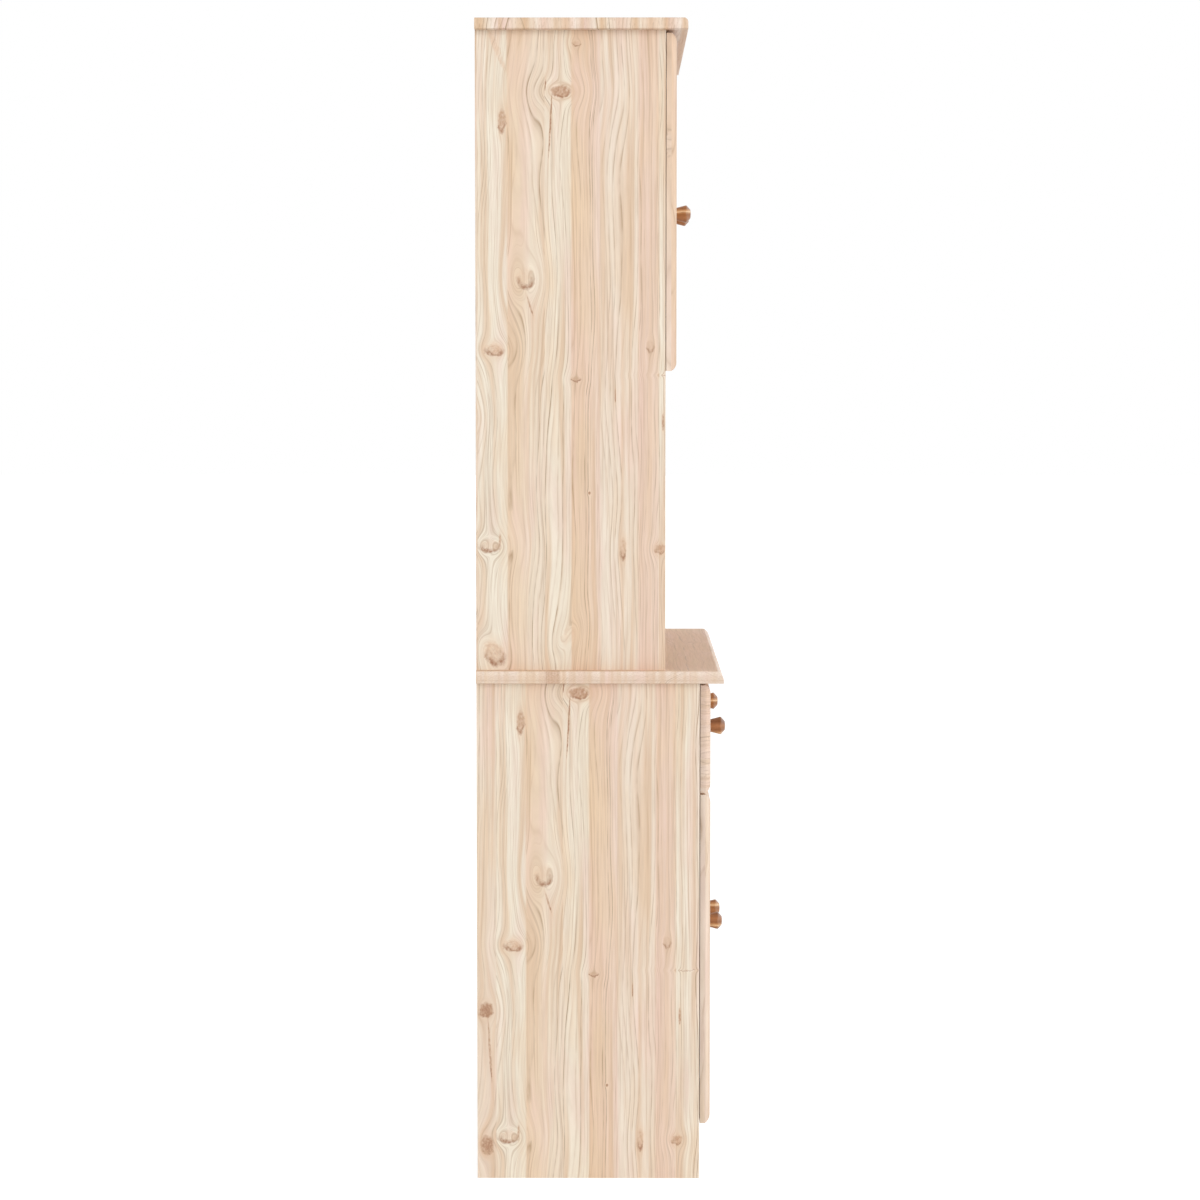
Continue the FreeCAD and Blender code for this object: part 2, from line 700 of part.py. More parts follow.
def drawer(prefix, hand):
    """A drawer: overlay front with a knob, two grooved sides, a back and a thin bottom."""
    low = "-side_left + front_reveal" if hand < 0 else "front_spacing / 2"
    front = front_board(prefix + "_drawer_front", (low, "base_front_plane", "drawer_front_level"),
                        ("front_width", "drawer_front_height"))
    drill(front, "XZ_Plane", "0", [("front_width / 2", "drawer_front_height / 2")],
          "knob_hole_radius", "knob_hole_depth")
    knob(prefix + "_drawer_knob", ("%s + front_width / 2" % low, "base_front_plane",
                                   "drawer_front_level + drawer_front_height / 2"))
    bay_low = "-inner_left" if hand < 0 else "board / 2"
    box_low = "%s + drawer_side_gap" % bay_low
    box_front = "base_edge - front_gap"
    for name in ("left", "right"):
        at = box_low if name == "left" else "%s + drawer_width - drawer_side" % box_low
        side = board("%s_drawer_side_%s" % (prefix, name), (at, box_front, "drawer_level"),
                     ("drawer_side", "drawer_box_length", "drawer_box_height"))
        outer = "0" if name == "left" else "drawer_side - runner_groove_depth"
        cut_channel(side, "XZ_Plane", outer, "drawer_box_height / 2 - runner_height / 2 - runner_play",
                    "runner_groove_depth", "runner_height + 2 * runner_play")
        inner = "drawer_side - drawer_groove_depth" if name == "left" else "0"
        cut_channel(side, "XZ_Plane", inner, "drawer_bottom_rise", "drawer_groove_depth",
                    "drawer_bottom + drawer_fit")
    inside = "drawer_width - 2 * drawer_side"
    board(prefix + "_drawer_back",
          ("%s + drawer_side" % box_low, "%s + drawer_box_length - drawer_side" % box_front,
           "drawer_level + drawer_bottom_rise + drawer_bottom + drawer_fit"),
          (inside, "drawer_side",
           "drawer_box_height - drawer_bottom_rise - drawer_bottom - drawer_fit"))
    board(prefix + "_drawer_bottom",
          ("%s + drawer_side - drawer_groove_depth + drawer_fit" % box_low, box_front,
           "drawer_level + drawer_bottom_rise + drawer_fit / 2"),
          ("%s + 2 * drawer_groove_depth - 2 * drawer_fit" % inside, "drawer_box_length",
           "drawer_bottom"))


def carcasses():
    """The boards of the base and the hutch, which don't move."""
    sides("base", "base_side_depth", "base_side_height", "base_edge", "0",
          [("plinth_height", "base_board_depth"), ("drawer_shelf_level", "base_board_depth")])
    sides("hutch", "hutch_side_depth", "hutch_side_height", "hutch_edge", "worktop_level",
          [("hutch_board_level", "hutch_board_depth")])
    cross_board("base", "base_bottom", "base_edge", "plinth_height", "base_board_depth")
    cross_board("base", "drawer_shelf", "base_edge", "drawer_shelf_level", "base_board_depth")
    cross_board("hutch", "hutch_bottom", "hutch_edge", "hutch_board_level", "hutch_board_depth")
    board("base_plinth", ("-inner_left", "base_edge + plinth_recess", "0"),
          ("inner_width", "board", "plinth_height"))
    board("drawer_divider", ("-board / 2", "base_edge", "drawer_shelf_level + board"),
          ("board", "base_board_depth", "base_side_height - drawer_shelf_level - board"))
    board("base_back", ("-back_width / 2", "back_face", "plinth_height"),
          ("back_width", "back_thickness", "base_side_height - plinth_height"))
    board("hutch_back", ("-back_width / 2", "back_face", "worktop_level"),
          ("back_width", "back_thickness", "hutch_side_height"))
    slab("worktop", "worktop_depth", "base_side_height", "board", "worktop",
         (("base", False), ("hutch", True)))
    slab("hutch_top", "top_depth", "top_level", "top_board", "top", (("hutch", False),))


def shelves():
    """Two loose shelves and the eight pins that they rest on."""
    pins = []
    for prefix, edge, depth in (("base", "base_edge", "base_board_depth"),
                                ("hutch", "hutch_edge", "hutch_board_depth")):
        level = prefix + "_shelf_level"
        shelf(prefix + "_shelf", edge, level, depth)
        for across in ("pin_inset", "%s - pin_inset" % depth):
            for start, turn in (("-inner_left - pin_length", -90), ("inner_left + pin_length", 90)):
                pins.append(shelf_pin((start, "(%s) + %s" % (edge, across),
                                       "%s - pin_head_radius" % level), turn))
    group("shelf_pins", pins)


def runners():
    """Four wooden strips, which the grooved drawer sides slide on."""
    strips = []
    for start in ("-inner_left", "-board / 2 - (runner_thickness)", "board / 2",
                  "inner_left - (runner_thickness)"):
        strip = doc.addObject("Part::Box", "runner")
        bind(strip, Length="runner_thickness", Width="runner_length", Height="runner_height")
        place(strip, (start, "base_edge + runner_set_back", "runner_level"))
        strips.append(strip)
    group("drawer_runners", strips)


carcasses()
shelves()
runners()
for side_name, side_hand in (("left", -1), ("right", 1)):
    door("lower_" + side_name, side_hand, "base_edge", "plinth_height", "base_door_height",
         "base_knob_rise")
    door("upper_" + side_name, side_hand, "hutch_edge", "hutch_board_level", "hutch_door_height",
         "-hutch_knob_drop")
    drawer(side_name, side_hand)
group("hinge_arms", arms)
group("dowels", dowels)
doc.recompute()

for thing in doc.Objects:
    if "Invalid" in thing.State or "Error" in thing.State:
        raise ValueError("%s failed: %s" % (thing.Label, thing.getStatusString()))
os.makedirs("parts", exist_ok=True)
for thing in parts:
    shape = thing.Shape
    if shape.isNull() or not shape.isValid():
        raise ValueError("%s has no valid shape" % thing.Label)
for thing in parts:
    thing.Shape.exportStep(os.path.join("parts", thing.Label + ".step"))
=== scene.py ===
from functools import partial
import math

import bpy
import numpy as np
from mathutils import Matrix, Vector


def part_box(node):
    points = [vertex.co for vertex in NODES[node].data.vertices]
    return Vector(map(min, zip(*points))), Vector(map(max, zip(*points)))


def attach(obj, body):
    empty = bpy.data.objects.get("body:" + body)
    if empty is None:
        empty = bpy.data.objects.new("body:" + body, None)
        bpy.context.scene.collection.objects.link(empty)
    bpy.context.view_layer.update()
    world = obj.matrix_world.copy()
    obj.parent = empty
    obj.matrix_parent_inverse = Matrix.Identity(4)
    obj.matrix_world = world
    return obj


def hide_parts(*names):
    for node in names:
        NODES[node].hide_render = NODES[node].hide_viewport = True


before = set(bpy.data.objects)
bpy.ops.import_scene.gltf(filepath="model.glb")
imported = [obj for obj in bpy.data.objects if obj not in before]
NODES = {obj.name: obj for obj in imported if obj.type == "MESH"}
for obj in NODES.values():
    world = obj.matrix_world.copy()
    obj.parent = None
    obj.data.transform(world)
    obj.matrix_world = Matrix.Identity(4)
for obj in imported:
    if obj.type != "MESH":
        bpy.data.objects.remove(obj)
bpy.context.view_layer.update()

# A two-part cupboard of edge-glued pine: a deep base with two drawers and two doors, and a
# shallower hutch with two doors over an open niche. The front faces -Y and the floor is Z = 0.
# Lengths are in millimetres, and a comment says where they are in metres.

METRE = 0.001
X, Y, Z = 0, 1, 2


def corners_of(node):
    """The lowest and highest corners of a node in millimetres."""
    low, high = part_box(node)
    return np.array(low) / METRE, np.array(high) / METRE


def linear(code):
    """An sRGB hex colour as linear red, green, blue and alpha."""
    shares = [int(code[place:place + 2], 16) / 255 for place in (0, 2, 4)]
    return [share / 12.92 if share <= 0.04045 else ((share + 0.055) / 1.055) ** 2.4
            for share in shares] + [1.0]


def add(tree, kind, inputs=(), output=0, stops=(), **settings):
    """Adds one node: sets its properties, fills its inputs by place or name with values or links,
    puts colour stops on its ramp, and gives back one output, or the node where output is None."""
    node = tree.nodes.new(kind)
    for name, setting in settings.items():
        setattr(node, name, setting)
    for place, value in dict(inputs if isinstance(inputs, dict) else enumerate(inputs)).items():
        if isinstance(value, bpy.types.NodeSocket):
            tree.links.new(value, node.inputs[place])
        elif value is not None:
            node.inputs[place].default_value = value
    for number, (share, colour) in enumerate(stops):
        ramp = node.color_ramp.elements
        stop = ramp[number] if number < 2 else ramp.new(share)
        stop.position = share
        stop.color = linear(colour) if isinstance(colour, str) else (colour, colour, colour, 1)
    return node if output is None else node.outputs[output]


# The kinds of shader node that the materials use.
COORDINATES = "ShaderNodeTexCoord"
SPLIT = "ShaderNodeSeparateXYZ"
JOIN = "ShaderNodeCombineXYZ"
MATH = "ShaderNodeMath"
VECTORS = "ShaderNodeVectorMath"
RANGE = "ShaderNodeMapRange"
RANDOM = "ShaderNodeTexWhiteNoise"
NOISE = "ShaderNodeTexNoise"
CELLS = "ShaderNodeTexVoronoi"
RAMP = "ShaderNodeValToRGB"
BLEND = "ShaderNodeMix"
BUMP = "ShaderNodeBump"
SHADER = "ShaderNodeBsdfPrincipled"
SURFACE = "ShaderNodeOutputMaterial"
GROUP = "ShaderNodeGroup"

# Pine, in millimetres: an edge-glued stave's width, the cells that scattered knots lie in, and
# how far the grain's noises stretch across the grain, through the board and along it.
STAVE_WIDTH = 48.5
KNOT_CELL = {"across": 62.0, "along": 210.0}
WAVES = (26.0, 30.0, 170.0)
RIPPLES = (8.0, 8.0, 160.0)
BREAKS = (9.0, 9.0, 45.0)
THREADS = (2.0, 2.0, 330.0)
FIBRES = (25 / 9, 25 / 9, 75.0)
# How far the pith wanders sideways and in depth, and how high the waves and ripples are.
WANDER_ASIDE, WANDER_DEEP, WAVE_HEIGHT, RIPPLE_HEIGHT = 26.0, 16.0, 9.0, 1.0
# A knot's outline wobbles by up to half of the wobble, fully so from this half width on.
WOBBLE = 10.0
FULLY_WAVY_WIDTH = 7.0
# The knot radius of a place that is away from every knot.
AWAY = 9.0

# Colours of the pine: earlywood tones, its warm heart, rosy, sunny and tan clouds, two colours of
# latewood line, a knot from its pith outwards, its halo, its dark rim, and darker fibres.
EARLYWOODS = ((0.0, "F5E8D6"), (1.0, "EACDB2"), (0.35, "F1DECA"), (0.65, "F0D7C7"))
HEART, ROSY, SUNNY, TAN = "E3C0A2", "EFCFC2", "EDD0AC", "DDBC9B"
LATEWOODS = ("BC9062", "AA8D70")
KNOT_WOODS = ((0.0, "BE9070"), (1.0, "DDB99A"), (0.22, "D8B191"), (0.38, "C79C7B"),
              (0.55, "DFBC9D"), (0.7, "CDA483"), (0.85, "E2C1A3"))
KNOT_HALO, KNOT_RIM, FIBRE = "DDB591", "94603F", "BCA086"


def new_group(name, inputs, outputs):
    """An empty node group with typed inputs and outputs, and its input and output nodes."""
    tree = bpy.data.node_groups.new(name, "ShaderNodeTree")
    for label, kind in inputs.items():
        tree.interface.new_socket(label, in_out="INPUT", socket_type=kind)
    for label, kind in outputs.items():
        tree.interface.new_socket(label, in_out="OUTPUT", socket_type=kind)
    given = add(tree, "NodeGroupInput", output=None).outputs
    result = add(tree, "NodeGroupOutput", output=None)
    return tree, given, result


NUMBER = "NodeSocketFloat"
COLOUR = "NodeSocketColor"
PLACES = ("Across", "Along", "Wavy across", "Wavy along")
KNOT_VALUES = ("Centre across", "Centre along", "Half width", "Half height", "Swing",
               "Strength", "Whole", "Lean")
STRENGTH = KNOT_VALUES.index("Strength")


def knot_group():
    """One knot, pitch streak or smear. With a and b the distances from its centre over its half
    sizes, where its axis leans by so many millimetres across in a hundred along, the push on the
    grain is swing * half width * a / (a^2 + (0.72 b)^2 + 1). With a and b from wavy coordinates
    the radius is the length of (a, b). It is inside where the radius is under 1, and dark there
    in a crescent at its lower rim, all over where whole is 1, or nowhere where whole is -1."""
    tree, given, result = new_group(
        "knot", dict.fromkeys(PLACES + KNOT_VALUES, NUMBER),
        {"Push": NUMBER, "Inside": NUMBER, "Dark": NUMBER, "Radius": NUMBER})
    put = partial(add, tree)

    def shares(here_across, here_along):
        """The distances a and b at a place."""
        rise = put(MATH, (here_along, given["Centre along"]), operation="SUBTRACT")
        lean = put(MATH, (put(MATH, (rise, given["Lean"]), operation="MULTIPLY"), 0.01),
                   operation="MULTIPLY")
        aside = put(MATH, (put(MATH, (here_across, given["Centre across"]),
                               operation="SUBTRACT"), lean), operation="SUBTRACT")
        return (put(MATH, (aside, given["Half width"]), operation="DIVIDE"),
                put(MATH, (rise, given["Half height"]), operation="DIVIDE"))

    across, along = shares(given["Across"], given["Along"])
    near = put(MATH, (put(MATH, (along, 0.72), operation="MULTIPLY"), 2.0), operation="POWER")
    below = put(MATH, (put(MATH, (across, across, near), operation="MULTIPLY_ADD"), 1.0),
                operation="ADD")
    push = put(MATH, (put(MATH, (across, given["Half width"]), operation="MULTIPLY"),
                      given["Swing"]), operation="MULTIPLY")

    wavy = put(MATH, (given["Half width"], 1 / FULLY_WAVY_WIDTH), operation="MULTIPLY",
               use_clamp=True)
    across, along = shares(*[put(BLEND, (wavy, None, given[plain],
                                         given["Wavy " + plain.lower()]))
                             for plain in ("Across", "Along")])
    squared = put(MATH, (across, across), operation="MULTIPLY")
    radius = put(MATH, (put(MATH, (along, along, squared), operation="MULTIPLY_ADD"),),
                 operation="SQRT")
    disc = put(RANGE, {"Value": radius, "From Min": 1.15, "From Max": 0.8})
    inside = put(MATH, (disc, given["Strength"]), operation="MULTIPLY")
    shown = put(MATH, (disc, put(MATH, (given["Strength"], 3.0), operation="MULTIPLY",
                                 use_clamp=True)), operation="MULTIPLY")
    rim = put(MATH, (put(RANGE, {"Value": radius, "From Min": 0.35, "From Max": 0.85}),
                     put(RANGE, {"Value": along, "From Min": 0.35, "From Max": -0.55})),
              operation="MULTIPLY")
    edged = put(MATH, (rim, put(MATH, (given["Whole"], 1.0), operation="ADD", use_clamp=True)),
                operation="MULTIPLY")
    dark = put(MATH, (shown, put(MATH, (edged, given["Whole"]), operation="MAXIMUM")),
               operation="MULTIPLY")
    tree.links.new(put(MATH, (push, below), operation="DIVIDE"), result.inputs["Push"])
    tree.links.new(inside, result.inputs["Inside"])
    tree.links.new(dark, result.inputs["Dark"])
    tree.links.new(radius, result.inputs["Radius"])
    return tree


def stave_draws(put, stave, seed):
    """Two draws of three random numbers from 0 to 1 for each stave."""
    spot = put(JOIN, (stave, 5.0, seed))
    moved = put(VECTORS, (spot, (0.0, 0.0, 17.3)), operation="ADD")
    return [put(SPLIT, (put(RANDOM, (place,), "Color"),), None).outputs
            for place in (spot, moved)]


def scattered_knots(put, given, knot, draw):
    """Knots at the feature points of cells that are shifted from stave to stave by its draw. Their
    half widths go from 2.6 to 6 mm, and their half heights from 0.7 to 2 times that. Gives back
    the knot group's outputs and how far the knot here is kept."""
    place, inputs = {}, {}
    for number, (name, shift) in enumerate((("across", 19.0), ("along", 23.0))):
        place[name] = put(MATH, (given[name.title()], 1 / KNOT_CELL[name],
                                 put(MATH, (draw[number], shift), operation="MULTIPLY")),
                          operation="MULTIPLY_ADD")
    cells = put(CELLS, {"Vector": put(JOIN, (place["across"], place["along"], 0.0)),
                        "Scale": 1.0, "Randomness": 0.7}, None, voronoi_dimensions="2D").outputs
    centre = put(SPLIT, (cells["Position"],), None).outputs
    choice = put(SPLIT, (cells["Color"],), None).outputs
    for number, name in enumerate(place):
        there = put(MATH, (place[name], KNOT_CELL[name]), operation="MULTIPLY")
        wobble = put(MATH, (given["Wavy " + name], given[name.title()]), operation="SUBTRACT")
        inputs[name.title()] = there
        inputs["Wavy " + name] = put(MATH, (there, wobble), operation="ADD")
        inputs["Centre " + name] = put(MATH, (centre[number], KNOT_CELL[name]),
                                       operation="MULTIPLY")
    half_width = put(MATH, (choice[0], 3.4, 2.6), operation="MULTIPLY_ADD")
    slimness = put(MATH, (choice[1], 1.3, 0.7), operation="MULTIPLY_ADD")
    present = put(MATH, (choice[2], given["Knots"]), operation="LESS_THAN")
    fade = put(RANGE, {"Value": cells["Distance"], "From Min": 0.48, "From Max": 0.2},
               interpolation_type="SMOOTHSTEP")
    kept = put(MATH, (present, fade), operation="MULTIPLY")
    found = put(GROUP, {**inputs, "Half width": half_width,
                        "Half height": put(MATH, (half_width, slimness), operation="MULTIPLY"),
                        "Swing": 2.4, "Strength": kept, "Whole": 0.2, "Lean": 0.0},
                None, node_tree=knot).outputs
    return found, kept


def grain_streaks(put, pushed, given, sizes, shift=None, **inputs):
    """A noise stretched along the pushed grain by sizes in millimetres, moved sideways by a
    shift of its own."""
    wide, deep, long = sizes
    aside = (put(MATH, (pushed, 1 / wide), operation="MULTIPLY") if shift is None
             else put(MATH, (pushed, 1 / wide, shift), operation="MULTIPLY_ADD"))
    place = put(JOIN, (aside, put(MATH, (given["Through"], 1 / deep), operation="MULTIPLY"),
                       put(MATH, (given["Along"], 1 / long), operation="MULTIPLY")))
    return put(NOISE, {"Vector": place, "Scale": 1.0, "Detail": 1.0, **inputs})


def growth_rings(put, given, draws, pushed):
    """The rings of a stave. Their number is the distance to a pith 24 to 74 mm beside the stave's
    middle and 16 to 56 mm deep, moved by the wandering pith, waves, ripples and a slope along the
    grain, over a spacing of 2.6 to 6 mm. Gives back the distance, a random number for each ring
    and the darkness of its latewood line."""
    first, second = draws
    along, stave = given["Along"], given["Middle"]
    wander = put(SPLIT, (put(NOISE, {"Vector": put(JOIN, (
        put(MATH, (first[0], 40.0, stave), operation="MULTIPLY_ADD"),
        put(MATH, (along, 1 / 260.0), operation="MULTIPLY"), given["Seed"])), "Scale": 1.0,
        "Detail": 1.0}, "Color"),), None).outputs
    wave = grain_streaks(put, pushed, given, WAVES,
                         put(MATH, (first[1], 60.0), operation="MULTIPLY"))
    ripple = grain_streaks(put, pushed, given, RIPPLES)
    side = put(MATH, (put(MATH, (first[2], 0.5), operation="SUBTRACT"),), operation="SIGN")
    pith_across = put(MATH, (put(MATH, (first[0], 50.0, 24.0), operation="MULTIPLY_ADD"), side),
                      operation="MULTIPLY")
    aside = put(MATH, (put(MATH, (pushed, pith_across), operation="SUBTRACT"),
                       put(MATH, (wander[0], WANDER_ASIDE, -WANDER_ASIDE / 2),
                           operation="MULTIPLY_ADD")), operation="ADD")
    below_face = put(MATH, (put(MATH, (first[1], 40.0, 16.0), operation="MULTIPLY_ADD"),
                            given["Through"]), operation="ADD")
    distance = put(VECTORS, (put(JOIN, (aside, below_face, 0.0)),), "Value", operation="LENGTH")
    total = distance
    for part, size in ((wander[1], WANDER_DEEP), (wave, WAVE_HEIGHT), (ripple, RIPPLE_HEIGHT)):
        total = put(MATH, (part, size, total), operation="MULTIPLY_ADD")
    slope = put(MATH, (put(MATH, (first[2], 0.03, -0.015), operation="MULTIPLY_ADD"), along),
                operation="MULTIPLY")
    total = put(MATH, (total, slope), operation="ADD")
    spacing = put(MATH, (second[0], 3.4, 2.6), operation="MULTIPLY_ADD")
    count = put(MATH, (total, spacing), operation="DIVIDE")
    ring = put(MATH, (count,), operation="FLOOR")
    share = put(MATH, (count, ring), operation="SUBTRACT")
    ring_random = put(RANDOM, (put(JOIN, (ring, second[1], stave)),))

    # the line darkens towards the ring's end, more in some rings, and breaks up along the grain
    latewood = put(RAMP, (share,), stops=((0.0, 0.3), (1.0, 0.3), (0.07, 0.0), (0.58, 0.04),
                                          (0.8, 0.35), (0.92, 1.0)))
    fading = put(RANGE, {"Value": wander[2], "From Min": 0.3, "From Max": 0.7, "To Min": 0.55,
                         "To Max": 1.0})
    uneven = put(MATH, (ring_random, 2.0), operation="POWER")
    strength = put(MATH, (put(MATH, (uneven, 1.3, 0.3), operation="MULTIPLY_ADD"),
                          put(MATH, (second[1], 0.5, 0.5), operation="MULTIPLY_ADD")),
                   operation="MULTIPLY")
    breaks = grain_streaks(put, pushed, given, BREAKS, stave, Detail=2.0, Roughness=0.6)
    unbroken = put(RANGE, {"Value": breaks, "From Min": 0.36, "From Max": 0.6, "To Min": 0.25,
                           "To Max": 1.1})
    line = put(MATH, (put(MATH, (latewood, strength), operation="MULTIPLY"),
                      put(MATH, (fading, unbroken), operation="MULTIPLY")),
               operation="MULTIPLY")
    return distance, ring_random, line


def earlywood_colour(put, given, draws, pushed, distance):
    """The wood between the lines: the stave's own tone or the board's, warmer near the pith, with
    slow rosy and sunny clouds and tan bands along the grain."""
    second = draws[1]
    clouds = put(NOISE, {"Vector": put(JOIN, (
        put(MATH, (given["Across"], 1 / 30.0), operation="MULTIPLY"), given["Seed"],
        put(MATH, (given["Along"], 1 / 190.0, second[0]), operation="MULTIPLY_ADD"))),
        "Scale": 1.0, "Detail": 2.0})
    band = put(NOISE, {"Vector": put(JOIN, (
        put(MATH, (pushed, 1 / 9.0, given["Middle"]), operation="MULTIPLY_ADD"), given["Seed"],
        put(MATH, (given["Along"], 1 / 520.0), operation="MULTIPLY"))), "Scale": 1.0,
        "Detail": 1.0})
    earlywood = put(BLEND, {0: given["Tone share"], 6: put(RAMP, (second[2],), stops=EARLYWOODS),
                            7: given["Tone"]}, 2, data_type="RGBA")
    for value, low, high, most, colour in (
            (distance, 30.0, 10.0, 0.4, HEART), (clouds, 0.5, 0.7, 0.5, ROSY),
            (clouds, 0.46, 0.3, 0.4, SUNNY), (band, 0.46, 0.68, 0.65, TAN)):
        share = put(RANGE, {"Value": value, "From Min": low, "From Max": high, "To Max": most})
        earlywood = put(BLEND, {0: share, 6: earlywood, 7: linear(colour)}, 2,
                        data_type="RGBA")
    return earlywood


def pine_group(knot):
    """Edge-glued pine in a board's own directions: across the staves, through the board and along
    the grain. Each stave has its own pith, ring spacing and tone, and knots push the grain
    aside."""
    tree, given, result = new_group(
        "edge_glued_pine",
        {**dict.fromkeys(PLACES + ("Through", "Middle", "Seed", "Push", "Inside", "Dark",
                                   "Radius", "Knots", "Tone share", "Lines", "Shadow"), NUMBER),
         "Tone": COLOUR},
        {"Colour": COLOUR, "Roughness": NUMBER, "Height": NUMBER})
    put = partial(add, tree)
    stave = given["Middle"]
    draws = stave_draws(put, stave, given["Seed"])

    # scattered knots join the placed ones
    found, kept = scattered_knots(put, given, knot, draws[0])
    push = put(MATH, (found["Push"], kept, given["Push"]), operation="MULTIPLY_ADD")
    inside, dark = [put(MATH, (found[word], given[word]), operation="MAXIMUM")
                    for word in ("Inside", "Dark")]
    radius = put(MATH, (put(BLEND, (kept, None, AWAY, found["Radius"])), given["Radius"]),
                 operation="MINIMUM")

    # grain
    aside = put(MATH, (given["Across"], stave), operation="SUBTRACT")
    pushed = put(MATH, (aside, push), operation="SUBTRACT")
    distance, ring_random, line = growth_rings(put, given, draws, pushed)
    threads = grain_streaks(put, pushed, given, THREADS, stave, Detail=2.0, Roughness=0.7)
    thread = put(RANGE, {"Value": threads, "From Min": 0.56, "From Max": 0.68, "To Max": 0.42})
    fibres = grain_streaks(put, pushed, given, FIBRES, Detail=3.0, Roughness=0.65)

    # colour: earlywood, then lines and threads, then each knot's halo, wood and dark rim, broken
    # up by patches, then fibres
    patches = put(NOISE, {"Vector": put(JOIN, (
        given["Across"], put(MATH, (given["Along"], 0.6), operation="MULTIPLY"),
        given["Through"])), "Scale": 0.3, "Detail": 2.0, "Roughness": 0.6})
    patch = put(RANGE, {"Value": patches, "From Min": 0.36, "From Max": 0.6, "To Min": 0.45,
                        "To Max": 1.0})
    wood = earlywood_colour(put, given, draws, pushed, distance)
    for share, colour in (
            (put(MATH, (put(MATH, (line, thread), operation="MAXIMUM"), given["Lines"]),
                 operation="MULTIPLY"),
             put(BLEND, {0: ring_random, 6: linear(LATEWOODS[0]), 7: linear(LATEWOODS[1])}, 2,
                 data_type="RGBA")),
            (put(RANGE, {"Value": radius, "From Min": 2.0, "From Max": 1.0, "To Max": 0.25}),
             linear(KNOT_HALO)),
            (put(MATH, (inside, patch), operation="MULTIPLY"),
             put(RAMP, (radius,), stops=KNOT_WOODS)),
            (put(MATH, (dark, patch), operation="MULTIPLY"), linear(KNOT_RIM)),
            (put(RANGE, {"Value": fibres, "From Min": 0.35, "From Max": 0.7, "To Max": 0.28}),
             linear(FIBRE))):
        wood = put(BLEND, {0: share, 6: wood, 7: colour}, 2, data_type="RGBA")
    # then painted shade where the Shadow input is given: it darkens the whole colour
    wood = put(VECTORS, {0: wood, "Scale": put(MATH, (1.0, given["Shadow"]),
                                               operation="SUBTRACT")}, operation="SCALE")
    tree.links.new(wood, result.inputs["Colour"])
    tree.links.new(put(RANGE, {"Value": fibres, "From Min": 0.3, "From Max": 0.7, "To Min": 0.46,
                               "To Max": 0.58}), result.inputs["Roughness"])
    tree.links.new(put(MATH, (line, 0.5, fibres), operation="MULTIPLY_ADD"),
                   result.inputs["Height"])
    return tree


KNOT = knot_group()
PINE = pine_group(KNOT)
# The lower fronts: their thickness, and their front face and outer end in metres, which place the
# painted shade on their ends.
FRONT_THICKNESS = 14.6
BASE_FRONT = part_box("left_drawer_front")[0][Y]
END_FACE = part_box("right_drawer_front")[1][X]


def new_material(name):
    """An empty material and the function that adds nodes to it."""
    material = bpy.data.materials.new(name)
    material.use_nodes = True
    material.node_tree.nodes.clear()
    return material, partial(add, material.node_tree)


def stave_middle(put, u, seams):
    """The middle of the stave at u across the board. The staves lie between the seams, or are all
    of one width where no seams are given."""
    if not seams:
        stave = put(MATH, (put(MATH, (u, STAVE_WIDTH), operation="DIVIDE"),), operation="FLOOR")
        return put(MATH, (stave, STAVE_WIDTH, STAVE_WIDTH / 2), operation="MULTIPLY_ADD")
    low, width = seams[0], seams[-1] - seams[0]
    steps = put(RAMP, (put(RANGE, {"Value": u, "From Min": low, "From Max": seams[-1]}),), None,
                stops=[((edge - low) / width, ((edge + after) / 2 - low) / width)
                       for edge, after in zip(seams, seams[1:])])
    steps.color_ramp.interpolation = "CONSTANT"
    return put(MATH, (steps.outputs[0], width, low), operation="MULTIPLY_ADD")


def board_tone(put, position, tones):
    """The earlywood's colour at a position across or through the board, from stops."""
    low, width = tones[0][0], tones[-1][0] - tones[0][0]
    return put(RAMP, (put(RANGE, {"Value": position, "From Min": low,
                                  "From Max": tones[-1][0]}),),
               stops=[((at - low) / width, colour)
                      for at, colour in (tones[0], tones[-1], *tones[1:-1])])


def placed_knots(put, places, placed):
    """Knots, smears and streaks at chosen places, as inputs of the pine group. Only those of
    more than half strength give a radius, which draws a halo and a knot's own wood."""
    joined = {"Radius": AWAY}
    for values in placed:
        one = put(GROUP, {**places, **dict(zip(KNOT_VALUES, map(float, values)))}, None,
                  node_tree=KNOT).outputs
        joined["Push"] = put(MATH, (one["Push"], joined.get("Push", 0.0)), operation="ADD")
        for word in ("Inside", "Dark"):
            joined[word] = put(MATH, (one[word], joined.get(word, 0.0)), operation="MAXIMUM")
        if values[STRENGTH] > 0.5:
            joined["Radius"] = put(MATH, (one["Radius"], joined["Radius"]),
                                   operation="MINIMUM")
    return joined


def painted_shade_at_end(put, place, end_shade):
    """How much painted shade darkens a lower front's outer end towards its back, next to the side
    board. This sets in from 1.5 to 0.5 mm before the end."""
    end = put(RANGE, {"Value": put(MATH, (place[X],), operation="ABSOLUTE"),
                      "From Min": END_FACE - 1.5 * METRE, "From Max": END_FACE - 0.5 * METRE})
    depth = put(RANGE, {"Value": place[Y], "From Min": BASE_FRONT, "To Max": end_shade,
                        "From Max": BASE_FRONT + FRONT_THICKNESS * METRE})
    return put(MATH, (end, depth), operation="MULTIPLY")


